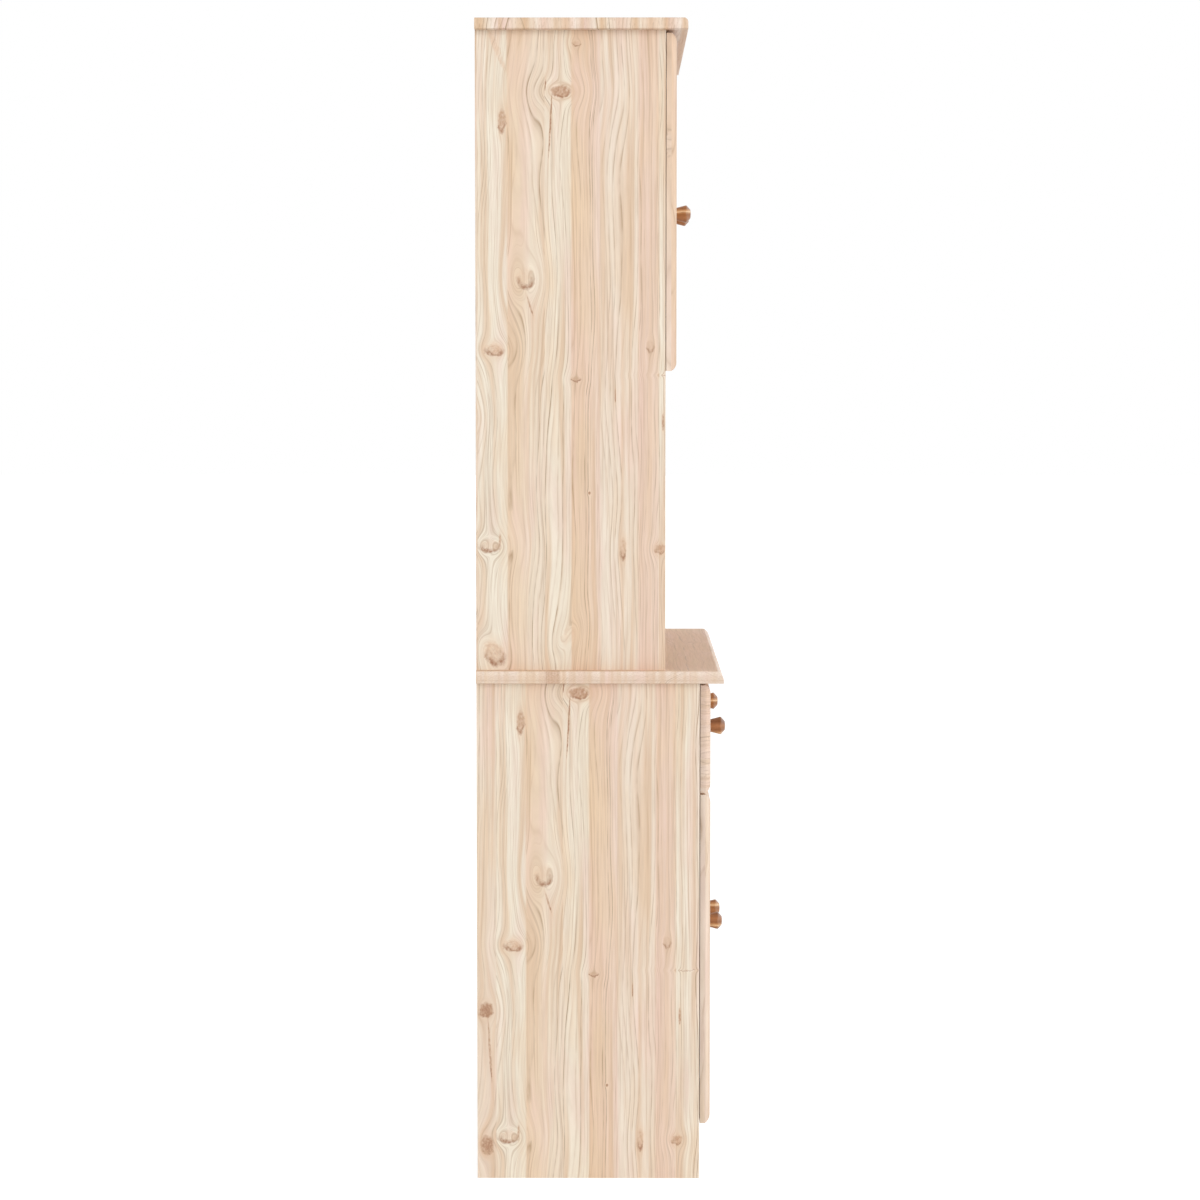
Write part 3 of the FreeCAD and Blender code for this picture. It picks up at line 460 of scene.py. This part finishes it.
def pine(name, across, through, along, seed, knots=0.5, seams=(), tones=(), placed=(),
         lines=1.0, tone_share=0.7, tone_through=False, end_shade=0.0):
    """A pine board's material: satin-lacquered, edge-glued staves. Each direction is an axis of
    the object, a sign or share and a start. Seams are the staves' edges across the
    board, where they aren't all alike. Tones are stops of earlywood colour across the board, or
    through it, and tone share is their share over a stave's own colour; the worktop's also paint
    shade on its upper face. Each placed knot, smear or streak gives the KNOT_VALUES. Lines is the
    grain lines' strength, and end shade how much painted shade darkens the outer end of a lower
    front at its back."""
    material, put = new_material(name)
    place = put(SPLIT, (put(COORDINATES, (), "Object"),), None).outputs
    u, w, v = [put(MATH, (place[axis], sign / METRE, start), operation="MULTIPLY_ADD")
               for axis, sign, start in (across, through, along)]
    uneven = put(SPLIT, (put(NOISE, {"Vector": put(JOIN, (u, float(seed), v)), "Scale": 0.13,
                                     "Detail": 3.0, "Roughness": 0.6}, "Color"),), None).outputs
    wavy = [put(MATH, (shift, WOBBLE, put(MATH, (plain, WOBBLE / 2), operation="SUBTRACT")),
                operation="MULTIPLY_ADD") for shift, plain in zip(uneven, (u, v))]
    places = dict(zip(PLACES, (u, v, *wavy)))
    inputs = {**places, **placed_knots(put, places, placed), "Through": w, "Seed": float(seed),
              "Knots": knots, "Lines": lines, "Middle": stave_middle(put, u, seams)}
    if tones:
        inputs["Tone"] = board_tone(put, w if tone_through else u, tones)
        inputs["Tone share"] = tone_share
    # painted shade on a lower front's outer end, darker towards its back
    if end_shade:
        inputs["Shadow"] = painted_shade_at_end(put, place, end_shade)
    board = put(GROUP, inputs, None, node_tree=PINE).outputs
    relief = put(BUMP, {"Height": board["Height"], "Strength": 0.25, "Distance": 0.3 * METRE},
                 "Normal")
    shader = put(SHADER, {"Base Color": board["Colour"], "Roughness": board["Roughness"],
                          "Normal": relief, "IOR": 1.5})
    put(SURFACE, (shader,), None)
    return material


def dress(material, *nodes):
    """Gives CAD nodes their material."""
    for node in nodes:
        for slot in NODES[node].material_slots:
            slot.material = material


# The left side boards: the staves' edges and the earlywood's tones, forwards from the upper
# board's rear edge.
SIDE_SEAMS = (-40.0, 2.0, 45.0, 97.0, 135.0, 175.0, 231.0, 259.0, 320.0)
SIDE_TONES = ((-30.0, "EEDFCA"), (2.0, "EBDBC8"), (3.0, "F3EAD8"), (43.0, "F1E9D7"),
              (46.0, "E8CFB2"), (66.0, "EAD5BA"), (76.0, "F1E5D0"), (97.0, "EEE0CC"),
              (110.0, "F1E8D5"), (134.0, "EDE2CD"), (137.0, "E5C7A6"), (160.0, "E8CDB2"),
              (175.0, "EBD4C5"), (178.0, "F0E3D2"), (228.0, "EEDECB"), (232.0, "E8CBB8"),
              (257.0, "EAD1BD"), (261.0, "F1E8D6"), (320.0, "F1E4D3"))
# Centre across and along, half width and height, swing, strength, whole dark share and lean.
SIDE_MARKS = (
    (121, 1549, 15, 8, 2.4, 1.0, 0.5, 0), (106, 1504, 1.1, 46, 0, 0.9, 0.75, 5.5),
    (99, 1558, 0.9, 8, 0, 0.9, 0.8, 8), (31, 1607, 4.5, 30, 0.5, 0.5, -1, -41),
    (37.7, 1507.5, 5.5, 17, 1.5, 0.8, 0.3, 0), (143, 1616, 6, 4, 1.6, 0.4, 0.1, 0),
    (87, 1500, 16, 60, 0.8, 0, 0, 0), (71, 1287, 13, 15, 2.4, 0.4, 0, 0),
    (77, 1249, 1.3, 14, 0, 0.6, 0.4, -30), (26, 1187, 14, 9, 1.6, 0.7, 0, 0),
    (246.5, 1191, 6, 9, 1.4, 0.3, 0.1, 0), (142, 1146, 7, 4, 1.2, 0.4, 0.1, 0),
    (197.5, 1123, 1.0, 10, 0, 0.6, 0.5, 0), (265, 1085, 1.6, 12, 0, 0.7, 0.5, 0),
    (-12.7, 1093, 10.5, 10.5, 1.8, 1.0, 0.7, 0), (-7, 1036, 1.5, 45, 0, 0.6, 0.4, -6),
    (-11, 897, 9, 14, 1.8, 1.0, 0.65, 0), (20, 909, 16, 10, 2.2, 0.4, 0, 0),
    (34, 917, 1.4, 9, 0, 0.7, 0.4, 0), (161, 984.5, 1.9, 1.9, 2.0, 1.0, 0.7, 0),
    (208.5, 904.6, 4.5, 16, 1.4, 0.65, 0.1, 0), (261, 905, 8, 6.5, 1.8, 0.85, 0.25, 0),
    (131, 782, 10, 12, 1.8, 0.3, -1, 30), (26, 756, 15, 17, 2.0, 0.65, 0, -30),
    (275, 1151, 12, 1.0, 0.6, 0.5, 0.2, 0), (60, 1400, 14, 90, 0.9, 0, 0, 0),
    (205, 1380, 18, 120, 0.7, 0, 0, 0), (110, 960, 16, 100, 0.8, 0, 0, 0))
REAR = corners_of("base_side_left")[1][Y]
SIDE_MIDDLE = 357.0
# The left sides share the first seed, and the other boards' seeds count up from the second.
SIDE_SEED, FIRST_BOARD_SEED = 4, 11
# The lower board shows the upper one's staves again, further forwards and down by so much.
for node, forwards, down, lines in (("hutch_side_left", 0.0, 0.0, 1.15),
                                    ("base_side_left", 25.0, 849.5, 1.05)):
    dress(pine("pine_" + node, (Y, -1, REAR - forwards), (X, -1, -SIDE_MIDDLE), (Z, 1, down),
               SIDE_SEED, knots=0.0, seams=SIDE_SEAMS, tones=SIDE_TONES, placed=SIDE_MARKS,
               tone_share=0.85, lines=lines), node)

# Each board's axes across its staves, through it and along its grain.
LYING, UPRIGHT, STANDING = (Y, Z, X), (Y, X, Z), (X, Y, Z)
CROSSWISE, DEEPWISE = (Z, Y, X), (Z, X, Y)
# The rings stand nearly upright in the boards, so they move little through the thickness. In the
# worktop they lie nearly flat, so that its end shows level lines.
THROUGH_SHARE = 0.2
WORKTOP_THROUGH_SHARE = 2.0
# Earlywood tones of the top across its staves: cream, tan and pink streaks.
SLAB_TONES = ((0.0, "F0DAC6"), (6.0, "DDBB99"), (11.0, "F6E9DA"), (24.0, "EBCFC0"),
              (31.0, "D9B48E"), (38.0, "F3E2D0"), (52.0, "E9CBBB"), (66.0, "F8EEE0"),
              (73.0, "DAB791"), (80.0, "F2DECB"), (97.0, "EACDBE"), (108.0, "F8EFE2"),
              (121.0, "DCB994"), (129.0, "F4E6D5"), (146.0, "E8C9B9"), (158.0, "F7ECDE"),
              (171.0, "DDBB96"), (186.0, "F3E2D0"), (203.0, "EACCBD"), (214.0, "F8EEE1"),
              (229.0, "DAB690"), (240.0, "F2DFCB"), (262.0, "E9CBBC"), (275.0, "F7ECDD"),
              (292.0, "DCBA95"), (310.0, "F4E3D2"), (331.0, "EACDBD"), (352.0, "F3E2D0"))
# The worktop's tones from its underside up, where each millimetre through it counts as two:
# a browner line at a quarter of its end's height, a light one above, and painted shade on the
# upper face, which is a darker rosy brown for the lesser light it gets.
WORKTOP_TONES_AND_TOP_SHADE = ((0.0, "E8D0BC"), (5.0, "E8D5C3"), (9.0, "DAC0AA"), (12.0, "E5D0BD"),
                 (20.0, "E9D2C0"), (27.0, "F3E1D1"), (33.0, "F1DECF"), (35.2, "EAD3BF"),
                 (35.8, "E3BC9C"), (36.5, "E3BC9C"))
# The block-shaped knot in the worktop's left end, 108 mm from its rear edge.
WORKTOP_MARKS = ((243.5, -385.0, 11.0, 14.0, 1.2, 0.6, 0.2, 0.0),)
# Boards whose looks differ from the usual.
OWN_LOOKS = {
    "hutch_top": {"tones": SLAB_TONES, "tone_share": 1.0},
    "worktop": {"tones": WORKTOP_TONES_AND_TOP_SHADE, "tone_share": 0.9, "tone_through": True, "lines": 0.75,
                "knots": 0.35, "placed": WORKTOP_MARKS},
    "lower_left_door_board": {"tones": ((0.0, "F6DFCB"), (365.0, "F3DAC4"))},
    "left_drawer_front": {"tones": ((0.0, "F3D8C6"), (154.0, "F1D3C0"))}}
BOARDS = {
    "base_side_right": UPRIGHT, "hutch_side_right": UPRIGHT, "worktop": LYING,
    "hutch_top": LYING, "base_bottom": LYING, "drawer_shelf": LYING, "hutch_bottom": LYING,
    "base_shelf": LYING, "hutch_shelf": LYING, "base_plinth": CROSSWISE,
    "drawer_divider": UPRIGHT, "lower_left_door_board": STANDING,
    "lower_right_door_board": STANDING, "upper_left_door_board": STANDING,
    "upper_right_door_board": STANDING, "left_drawer_front": CROSSWISE,
    "right_drawer_front": CROSSWISE, "lower_left_door_battens": CROSSWISE,
    "lower_right_door_battens": CROSSWISE, "upper_left_door_battens": CROSSWISE,
    "upper_right_door_battens": CROSSWISE, "left_drawer_side_left": DEEPWISE,
    "left_drawer_side_right": DEEPWISE, "right_drawer_side_left": DEEPWISE,
    "right_drawer_side_right": DEEPWISE, "left_drawer_back": CROSSWISE,
    "right_drawer_back": CROSSWISE}
# How much painted shade darkens the lower fronts' outer ends towards their back.
END_SHADE_STRENGTH = 0.26
LOWER_FRONTS = ("lower_left_door_board", "lower_right_door_board", "left_drawer_front",
                "right_drawer_front")
for number, (node, (across, through, along)) in enumerate(BOARDS.items(), FIRST_BOARD_SEED):
    low = corners_of(node)[0]
    share = WORKTOP_THROUGH_SHARE if node == "worktop" else THROUGH_SHARE
    dress(pine("pine_" + node, (across, 1, -low[across]), (through, share, -share * low[through]),
               (along, 1, 0.0), number, end_shade=END_SHADE_STRENGTH if node in LOWER_FRONTS else 0.0,
               **OWN_LOOKS.get(node, {})), node)


def figured(name, shares, base, mark, low, high, size, roughness, turns=0.0):
    """A plain wood's material. The eye sees a base colour with darker marks, which come in as a
    noise rises from low to high. Its coordinates are the place in millimetres times the shares.
    Where turns are given, the noise is multiplied by them and the fraction draws flames."""
    material, put = new_material(name)
    place = put(VECTORS, (put(COORDINATES, (), "Object"),
                          tuple(share / METRE for share in shares)), operation="MULTIPLY")
    figure = put(NOISE, {"Vector": place, "Scale": 1.0, "Detail": 2.0})
    if turns:
        figure = put(MATH, (put(MATH, (figure, turns), operation="MULTIPLY"),),
                     operation="FRACT")
    marked = put(RANGE, {"Value": figure, "From Min": low, "From Max": high})
    fine = put(NOISE, {"Vector": place, "Scale": size, "Detail": 2.0})
    colour = put(BLEND, {0: marked, 6: linear(base), 7: linear(mark)}, 2, data_type="RGBA")
    shade = put(RANGE, {"Value": fine, "From Min": 0.3, "From Max": 0.7, "To Min": 0.94,
                        "To Max": 1.05})
    colour = put(VECTORS, {0: colour, "Scale": shade}, operation="SCALE")
    sheen = put(RANGE, {"Value": fine, "From Min": 0.3, "From Max": 0.7, "To Min": roughness,
                        "To Max": roughness + 0.12})
    relief = put(BUMP, {"Height": fine, "Strength": 0.2, "Distance": 0.2 * METRE}, "Normal")
    put(SURFACE, (put(SHADER, {"Base Color": colour, "Roughness": sheen, "Normal": relief}),),
        None)
    return material


# Thin birch plywood, sanded and unlacquered: pale, with the broad flames of peeled veneer, whose
# noise changes over some 95 mm across the grain and 700 mm along it.
FLAME_WIDE, FLAME_LONG = 1 / 95, 1 / 700
VENEER = {"base": "EAD6BC", "mark": "DDC2A0", "low": 0.5, "high": 1.0, "size": 22.0,
          "roughness": 0.55, "turns": 10.0}
dress(figured("birch_plywood_upright", (FLAME_WIDE, FLAME_WIDE, FLAME_LONG), **VENEER),
      "base_back", "hutch_back")
dress(figured("birch_plywood_lying", (FLAME_WIDE, FLAME_LONG, FLAME_WIDE), **VENEER),
      "left_drawer_bottom", "right_drawer_bottom")
# Planed beech: pinkish tan with short dark flecks along the grain, some 1 mm wide and 6 mm long.
FLECK_WIDE, FLECK_LONG = 1 / 1.25, 1 / 6.25
dress(figured("planed_beech", (FLECK_WIDE, FLECK_LONG, FLECK_WIDE), "DDB68E", "B5875E", 0.58,
              0.68, 3.0, 0.45), "dowels", "drawer_runners")


def zinc_plate():
    """Bright zinc plate on pressed steel: cool light grey metal with a faint patchy sheen."""
    material, put = new_material("zinc_plated_steel")
    place = put(COORDINATES, (), "Object")
    patches = put(NOISE, {"Vector": place, "Scale": 260.0, "Detail": 3.0})
    sheen = put(RANGE, {"Value": patches, "From Min": 0.3, "From Max": 0.7, "To Min": 0.24,
                        "To Max": 0.38})
    relief = put(BUMP, {"Height": patches, "Strength": 0.05, "Distance": 0.1 * METRE}, "Normal")
    put(SURFACE, (put(SHADER, {"Base Color": linear("C6C9CC"), "Metallic": 1.0,
                               "Roughness": sheen, "Normal": relief}),), None)
    return material


def knob_wood(name, level, lean):
    """Turned wood, stained orange brown under a gloss lacquer. The eye sees one light band along
    the knob's axis at a level, leaned sideways, between darker bands: its colour follows the
    distance from that level, in millimetres, which a slow noise sways by up to 2 mm."""
    material, put = new_material(name)
    place = put(SPLIT, (put(COORDINATES, (), "Object"),), None).outputs
    x, y, z = [put(MATH, (part, 1 / METRE), operation="MULTIPLY") for part in place]
    sway = put(NOISE, {"Vector": put(JOIN, (x, put(MATH, (y, 0.35), operation="MULTIPLY"), z)),
                       "Scale": 0.12, "Detail": 2.0})
    above = put(MATH, (put(MATH, (x, lean, z), operation="MULTIPLY_ADD"), level),
                operation="SUBTRACT")
    away = put(MATH, (sway, 4.0, put(MATH, (above, 2.0), operation="SUBTRACT")),
               operation="MULTIPLY_ADD")
    bands = put(RAMP, (put(RANGE, {"Value": away, "From Min": -26.0, "From Max": 26.0}),),
                stops=((0.0, "A06A3E"), (1.0, "8F5C36"), (0.2, "8E5A33"), (0.34, "AB7246"),
                       (0.42, "97602F"), (0.465, "B07A4C"), (0.5, "EBC79C"), (0.54, "C08A5A"),
                       (0.6, "935E36"), (0.72, "AA7044"), (0.84, "7E4D2B")))
    fibres = put(NOISE, {"Vector": put(JOIN, (x, put(MATH, (y, 0.12), operation="MULTIPLY"), z)),
                         "Scale": 1.6, "Detail": 2.0})
    shade = put(RANGE, {"Value": fibres, "From Min": 0.3, "From Max": 0.7, "To Min": 0.88,
                        "To Max": 1.06})
    colour = put(VECTORS, {0: bands, "Scale": shade}, operation="SCALE")
    sheen = put(RANGE, {"Value": fibres, "From Min": 0.3, "From Max": 0.7, "To Min": 0.3,
                        "To Max": 0.4})
    relief = put(BUMP, {"Height": fibres, "Strength": 0.12, "Distance": 0.2 * METRE}, "Normal")
    put(SURFACE, (put(SHADER, {"Base Color": colour, "Roughness": sheen, "Normal": relief,
                               "Coat Weight": 0.35, "Coat Roughness": 0.15}),), None)
    return material


steel = zinc_plate()
DOORS = ("lower_left", "lower_right", "upper_left", "upper_right")
dress(steel, "hinge_arms", "shelf_pins", *(door + part for door in DOORS
                                           for part in ("_hinge_cups", "_hinge_links")))


def around(radii, heights, ringed=False):
    """A closed surface round an axis from rows of radii and heights, one column for each spoke.
    It ends in a pole at each end of the axis, or joins its last row to its first as a ring."""
    rows, spokes = radii.shape
    angles = np.arange(spokes) * 2 * math.pi / spokes
    points = np.stack((radii * np.cos(angles), radii * np.sin(angles), heights), axis=2)
    numbers = np.arange(rows * spokes).reshape(rows, spokes)
    if ringed:
        numbers = np.vstack((numbers, numbers[:1]))
    after = np.roll(numbers, -1, axis=1)
    quads = np.stack((numbers[:-1], after[:-1], after[1:], numbers[1:]), axis=2).reshape(-1, 4)
    points = points.reshape(-1, 3)
    if ringed:
        return points, quads, np.empty((0, 3), int)
    poles = [(0, 0, heights[0].mean()), (0, 0, heights[-1].mean())]
    first, last = np.full(spokes, len(points)), np.full(spokes, len(points) + 1)
    fans = np.vstack((np.stack((first, after[0], numbers[0]), axis=1),
                      np.stack((last, numbers[-1], after[-1]), axis=1)))
    return np.vstack((points, poles)), quads, fans


def fit(name, body, shape, places, material=steel):
    """Makes one piece of copies of a shape, each at a centre, with its axis along a direction,
    turned about that axis by an angle, and lets it ride on a body. It is zinc-plated steel where
    nothing else is given."""
    points, quads, fans = shape
    copies, faces = [], []
    for number, (centre, axis, turn) in enumerate(places):
        normal = np.array(axis, float) / np.linalg.norm(axis)
        side = np.cross((0.0, 0.0, 1.0), normal)
        upper = np.cross(normal, side)
        first = side * math.cos(turn) + upper * math.sin(turn)
        second = upper * math.cos(turn) - side * math.sin(turn)
        copies.append(np.array(centre) + points @ np.array((first, second, normal)))
        faces += (quads + number * len(points)).tolist() + (fans + number * len(points)).tolist()
    mesh = bpy.data.meshes.new(name)
    mesh.from_pydata((np.vstack(copies) * METRE).tolist(), [], faces)
    mesh.polygons.foreach_set("use_smooth", np.ones(len(faces), bool))
    mesh.materials.append(material)
    thing = bpy.data.objects.new(name, mesh)
    bpy.context.scene.collection.objects.link(thing)
    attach(thing, body)
    return thing


def softened(corners, cut):
    """An outline through corners (radius, height), each turned into a curve that starts and ends
    at the cut's distance from it: (1 - t)^2 before + 2 t (1 - t) corner + t^2 after."""
    corners = np.array(corners, float)
    middle = corners[1:-1]
    back, ahead = corners[:-2] - middle, corners[2:] - middle
    back_length = np.linalg.norm(back, axis=1, keepdims=True)
    ahead_length = np.linalg.norm(ahead, axis=1, keepdims=True)
    before = middle + back / back_length * np.minimum(cut, back_length * 0.45)
    behind = middle + ahead / ahead_length * np.minimum(cut, ahead_length * 0.45)
    t = np.linspace(0, 1, 6)[None, :, None]
    curves = ((1 - t) ** 2 * before[:, None] + 2 * t * (1 - t) * middle[:, None]
              + t ** 2 * behind[:, None])
    return np.vstack((corners[:1], curves.reshape(-1, 2), corners[-1:]))


def turned(outline, spokes):
    """A round shape from an outline of radii and heights that ends on its axis."""
    inner = outline[outline[:, 0] > 0.001]
    shape = around(np.repeat(inner[:, :1], spokes, axis=1), np.repeat(inner[:, 1:], spokes, axis=1))
    shape[0][-2:, 2] = outline[0, 1], outline[-1, 1]
    return shape


FORWARDS, BACKWARDS = (0, -1, 0), (0, 1, 0)
KNOB_REACH = 26.5
# Turned knobs: a tenon in the board, then a cone that widens to a rim and closes in a flat crown.
KNOB_OUTLINE = softened(((0, -9), (5, -9), (5, -0.05), (8.2, 0.05), (13, 18.5), (13, 20),
                         (6.5, 25.8), (0, KNOB_REACH)), 1.1)
KNOB = turned(KNOB_OUTLINE, 64)
# The height of each knob's light band above its middle, and how far it leans.
KNOBS = {"upper_left_door": (3.0, 0.0), "upper_right_door": (-4.0, 0.2),
         "lower_left_door": (-6.0, 0.0), "lower_right_door": (5.0, 0.1),
         "left_drawer": (-11.0, 0.0), "right_drawer": (1.0, 0.0)}
for body, (rise, lean) in KNOBS.items():
    node = body + "_knob"
    low, high = corners_of(node)
    centre = (low + high) / 2
    centre[Y] = low[Y] + KNOB_REACH
    wood = knob_wood("knob_wood_" + body, centre[Z] + rise + lean * centre[X], lean)
    knob = fit(body + "_turned_knob", body, KNOB, [(centre, FORWARDS, 0.0)], wood)
    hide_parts(node)


def screw_head(radius, rise):
    """A raised screw head with a cross recess. Its dome is rise * (1 - (r / radius)^2), 1.6 times
    that at its shoulder, and its foot is sunk by 0.5 mm. The recess's edge at an angle a from
    its nearest arm is min(0.55 radius, 0.13 radius / sin a), and its floor is a quarter of the
    rise high."""
    spokes = 24
    angles = np.arange(spokes) * 2 * math.pi / spokes
    from_arm = np.abs((angles + math.pi / 4) % (math.pi / 2) - math.pi / 4)
    star = np.minimum(0.55 * radius, 0.13 * radius / np.maximum(np.sin(from_arm), 0.01))
    full = np.full(spokes, radius)
    radii = np.array((full, full, full * 0.97, full * 0.85, full * 0.7, star, star * 0.8))
    heights = rise * (1 - (radii / radius) ** 2)
    heights[0] = -0.5
    heights[-1] = rise * 0.25
    heights[2] *= 1.6
    return around(radii, heights)


BATTEN_HEAD = screw_head(3.6, 1.1)
FLANGE_HEAD = screw_head(3.0, 0.8)
PLATE_HEAD = screw_head(3.6, 0.8)
# A batten is twice this high, and its outer screws are this far in from its ends.
BATTEN_MIDDLE, BATTEN_SCREW_INSET = 22.0, 26.0
# A hinge cup, its flange, and the flange's two screws, which are so far from the cup's middle
# towards the middle of the cupboard and up or down.
CUP_RADIUS, FLANGE_HOLE, FLANGE_RIM, FLANGE_THICKNESS, FLANGE_ROUND = 17.5, 17.4, 18.8, 0.6, 0.3
CUP_LOBE, CUP_LOBE_SPREAD = 13.0, 0.22
CUP_SCREW_INWARDS, CUP_SCREW_RISE = 9.5, 24.0


def cup_flange(hand):
    """A hinge cup's flange: a ring whose outer radius is
    rim + lobe * exp(-((angle - screw's angle) / spread)^2), with a lobe for each of two screws."""
    spokes = 96
    angles = np.arange(spokes) * 2 * math.pi / spokes
    outer = np.full(spokes, FLANGE_RIM)
    for sign in (-1, 1):
        lobe = math.atan2(sign * CUP_SCREW_RISE, hand * CUP_SCREW_INWARDS)
        away = (angles - lobe + math.pi) % (2 * math.pi) - math.pi
        outer = outer + CUP_LOBE * np.exp(-(away / CUP_LOBE_SPREAD) ** 2)
    inner = np.full(spokes, FLANGE_HOLE)
    radii = np.array((inner, outer, outer, outer - FLANGE_ROUND, inner + FLANGE_ROUND, inner))
    levels = np.array((0.0, 0.0, 0.35, FLANGE_THICKNESS, FLANGE_THICKNESS, 0.35))
    return around(radii, np.repeat(levels[:, None], spokes, axis=1), ringed=True)


# A hinge plate's two screws are this far behind the side board's front edge, and this far above
# and below the plate's middle. They sit on bosses, on the plate, on the side board's inner face.
PLATE_SCREW_BACK, PLATE_SCREW_RISE = 38.0, 16.0
CARCASS_HALF_WIDTH, BOARD, PLATE, BOSS = 366.0, 18.0, 2.0, 1.8
plate_screws = []
for door in DOORS:
    hand = -1 if "left" in door else 1
    body = door + "_door"
    low, high = corners_of(body + "_battens")
    middles = (low[Z] + BATTEN_MIDDLE, high[Z] - BATTEN_MIDDLE)
    across = np.linspace(low[X] + BATTEN_SCREW_INSET, high[X] - BATTEN_SCREW_INSET, 3)
    fit(door + "_batten_screws", body, BATTEN_HEAD,
        [((x, high[Y], z), BACKWARDS, 0.4 + x + z) for z in middles for x in across])
    low, high = corners_of(door + "_hinge_cups")
    centre = (low[X] + high[X]) / 2
    levels = (low[Z] + CUP_RADIUS, high[Z] - CUP_RADIUS)
    # The flange's own sideways axis points to -X.
    fit(door + "_hinge_flanges", body, cup_flange(hand),
        [((centre, high[Y], z), BACKWARDS, 0.0) for z in levels])
    fit(door + "_hinge_flange_screws", body, FLANGE_HEAD,
        [((centre - hand * CUP_SCREW_INWARDS, high[Y] + FLANGE_THICKNESS, z + rise), BACKWARDS,
          0.7 * z + rise) for z in levels for rise in (-CUP_SCREW_RISE, CUP_SCREW_RISE)])
    side = "base_side_left" if "lower" in door else "hutch_side_left"
    back = corners_of(side)[0][Y] + PLATE_SCREW_BACK
    plate_screws += [((hand * (CARCASS_HALF_WIDTH - BOARD - PLATE - BOSS), back, z + rise),
                      (-hand, 0, 0), 0.9 * z + rise)
                     for z in levels for rise in (-PLATE_SCREW_RISE, PLATE_SCREW_RISE)]
fit("hinge_plate_screws", "cabinet", PLATE_HEAD, plate_screws)

# Nails round the two back panels, about so far apart and so far in from their edges.
NAIL = turned(np.array(((0, -0.4), (1.5, -0.4), (1.6, 0.05), (1.25, 0.35), (0, 0.45))), 10)
NAIL_SPACING, NAIL_INSET = 95.0, 4.5
nails = []
for node in ("base_back", "hutch_back"):
    low, high = corners_of(node)
    face = high[Y]
    low, high = low + NAIL_INSET, high - NAIL_INSET
    columns, rows = [np.linspace(low[axis], high[axis],
                                 1 + round((high[axis] - low[axis]) / NAIL_SPACING))
                     for axis in (X, Z)]
    nails += [((x, face, z), BACKWARDS, 0.0) for x in columns for z in (low[Z], high[Z])]
    nails += [((x, face, z), BACKWARDS, 0.0) for z in rows[1:-1] for x in (low[X], high[X])]
fit("back_panel_nails", "cabinet", NAIL, nails)


def seen_directly(put):
    """1 where the eye sees a thing itself, in a mirror or through glass, and 0 where the thing
    only lights another."""
    ray = put("ShaderNodeLightPath", (), None).outputs
    seen = put(MATH, (ray["Is Camera Ray"], ray["Is Glossy Ray"]), operation="MAXIMUM")
    return put(MATH, (seen, ray["Is Transmission Ray"]), operation="MAXIMUM")


# The stage: a wide white floor just under the cupboard, in metres. The eye sees white paint that
# keeps the shadow, and the light that it throws back is that of plain pale paint.
FLOOR_REACH, FLOOR_DROP = 30, 0.0002
floor_mesh = bpy.data.meshes.new("floor")
floor_mesh.from_pydata([(x * FLOOR_REACH, y * FLOOR_REACH, -FLOOR_DROP)
                        for x, y in ((-1, -1), (1, -1), (1, 1), (-1, 1))], [], [(0, 1, 2, 3)])
floor = bpy.data.objects.new("floor", floor_mesh)
bpy.context.scene.collection.objects.link(floor)
paint, put = new_material("white_floor_paint")
shadowed = put("ShaderNodeBsdfDiffuse", {"Color": (0.4, 0.4, 0.4, 1)})
glow = put("ShaderNodeEmission", {"Color": (1, 1, 1, 1), "Strength": 0.82})
bright = put("ShaderNodeAddShader", (shadowed, glow))
plain = put("ShaderNodeBsdfDiffuse", {"Color": (0.92, 0.92, 0.92, 1)})
put(SURFACE, (put("ShaderNodeMixShader", (seen_directly(put), plain, bright)),), None)
floor_mesh.materials.append(paint)

# The studio round it: white to the eye, and a dimmer light on the cupboard.
world = bpy.data.worlds.new("studio")
bpy.context.scene.world = world
world.use_nodes = True
world.node_tree.nodes.clear()
put = partial(add, world.node_tree)
strength = put(BLEND, (seen_directly(put), None, 0.67, 1.0))
put("ShaderNodeOutputWorld", (put("ShaderNodeBackground", {"Color": (1, 1, 1, 1),
                                                           "Strength": strength}),), None)


def sun(name, towards, strength, spread):
    """A soft far lamp that shines in a direction, with its spread in degrees."""
    lamp = bpy.data.lights.new(name, "SUN")
    lamp.energy = strength
    lamp.angle = math.radians(spread)
    held = bpy.data.objects.new(name, lamp)
    held.rotation_euler = Vector(towards).to_track_quat("-Z", "Y").to_euler()
    bpy.context.scene.collection.objects.link(held)


# The key lamp shines from the left and a little from the front, and the fill from the front.
sun("key", (0.9, 0.38, -0.13), 1.52, 44.0)
sun("fill", (-0.35, 0.8, -0.3), 0.5, 60.0)

# The camera stands to the left at the height of the hutch, in metres, and looks a little down and
# back, in radians.
CAMERA_PLACE = (-5.14573, -0.01992, 1.16822)
PITCH, YAW = 0.070098, 0.005032
lens = bpy.data.cameras.new("camera")
lens.sensor_width = 36.0
lens.lens = 101.255
camera = bpy.data.objects.new("camera", lens)
camera.location = CAMERA_PLACE
camera.rotation_euler = Vector((math.cos(PITCH) * math.cos(YAW), math.cos(PITCH) * math.sin(YAW),
                                -math.sin(PITCH))).to_track_quat("-Z", "Y").to_euler()
bpy.context.scene.collection.objects.link(camera)
bpy.context.scene.camera = camera
bpy.context.scene.view_settings.view_transform = "Standard"
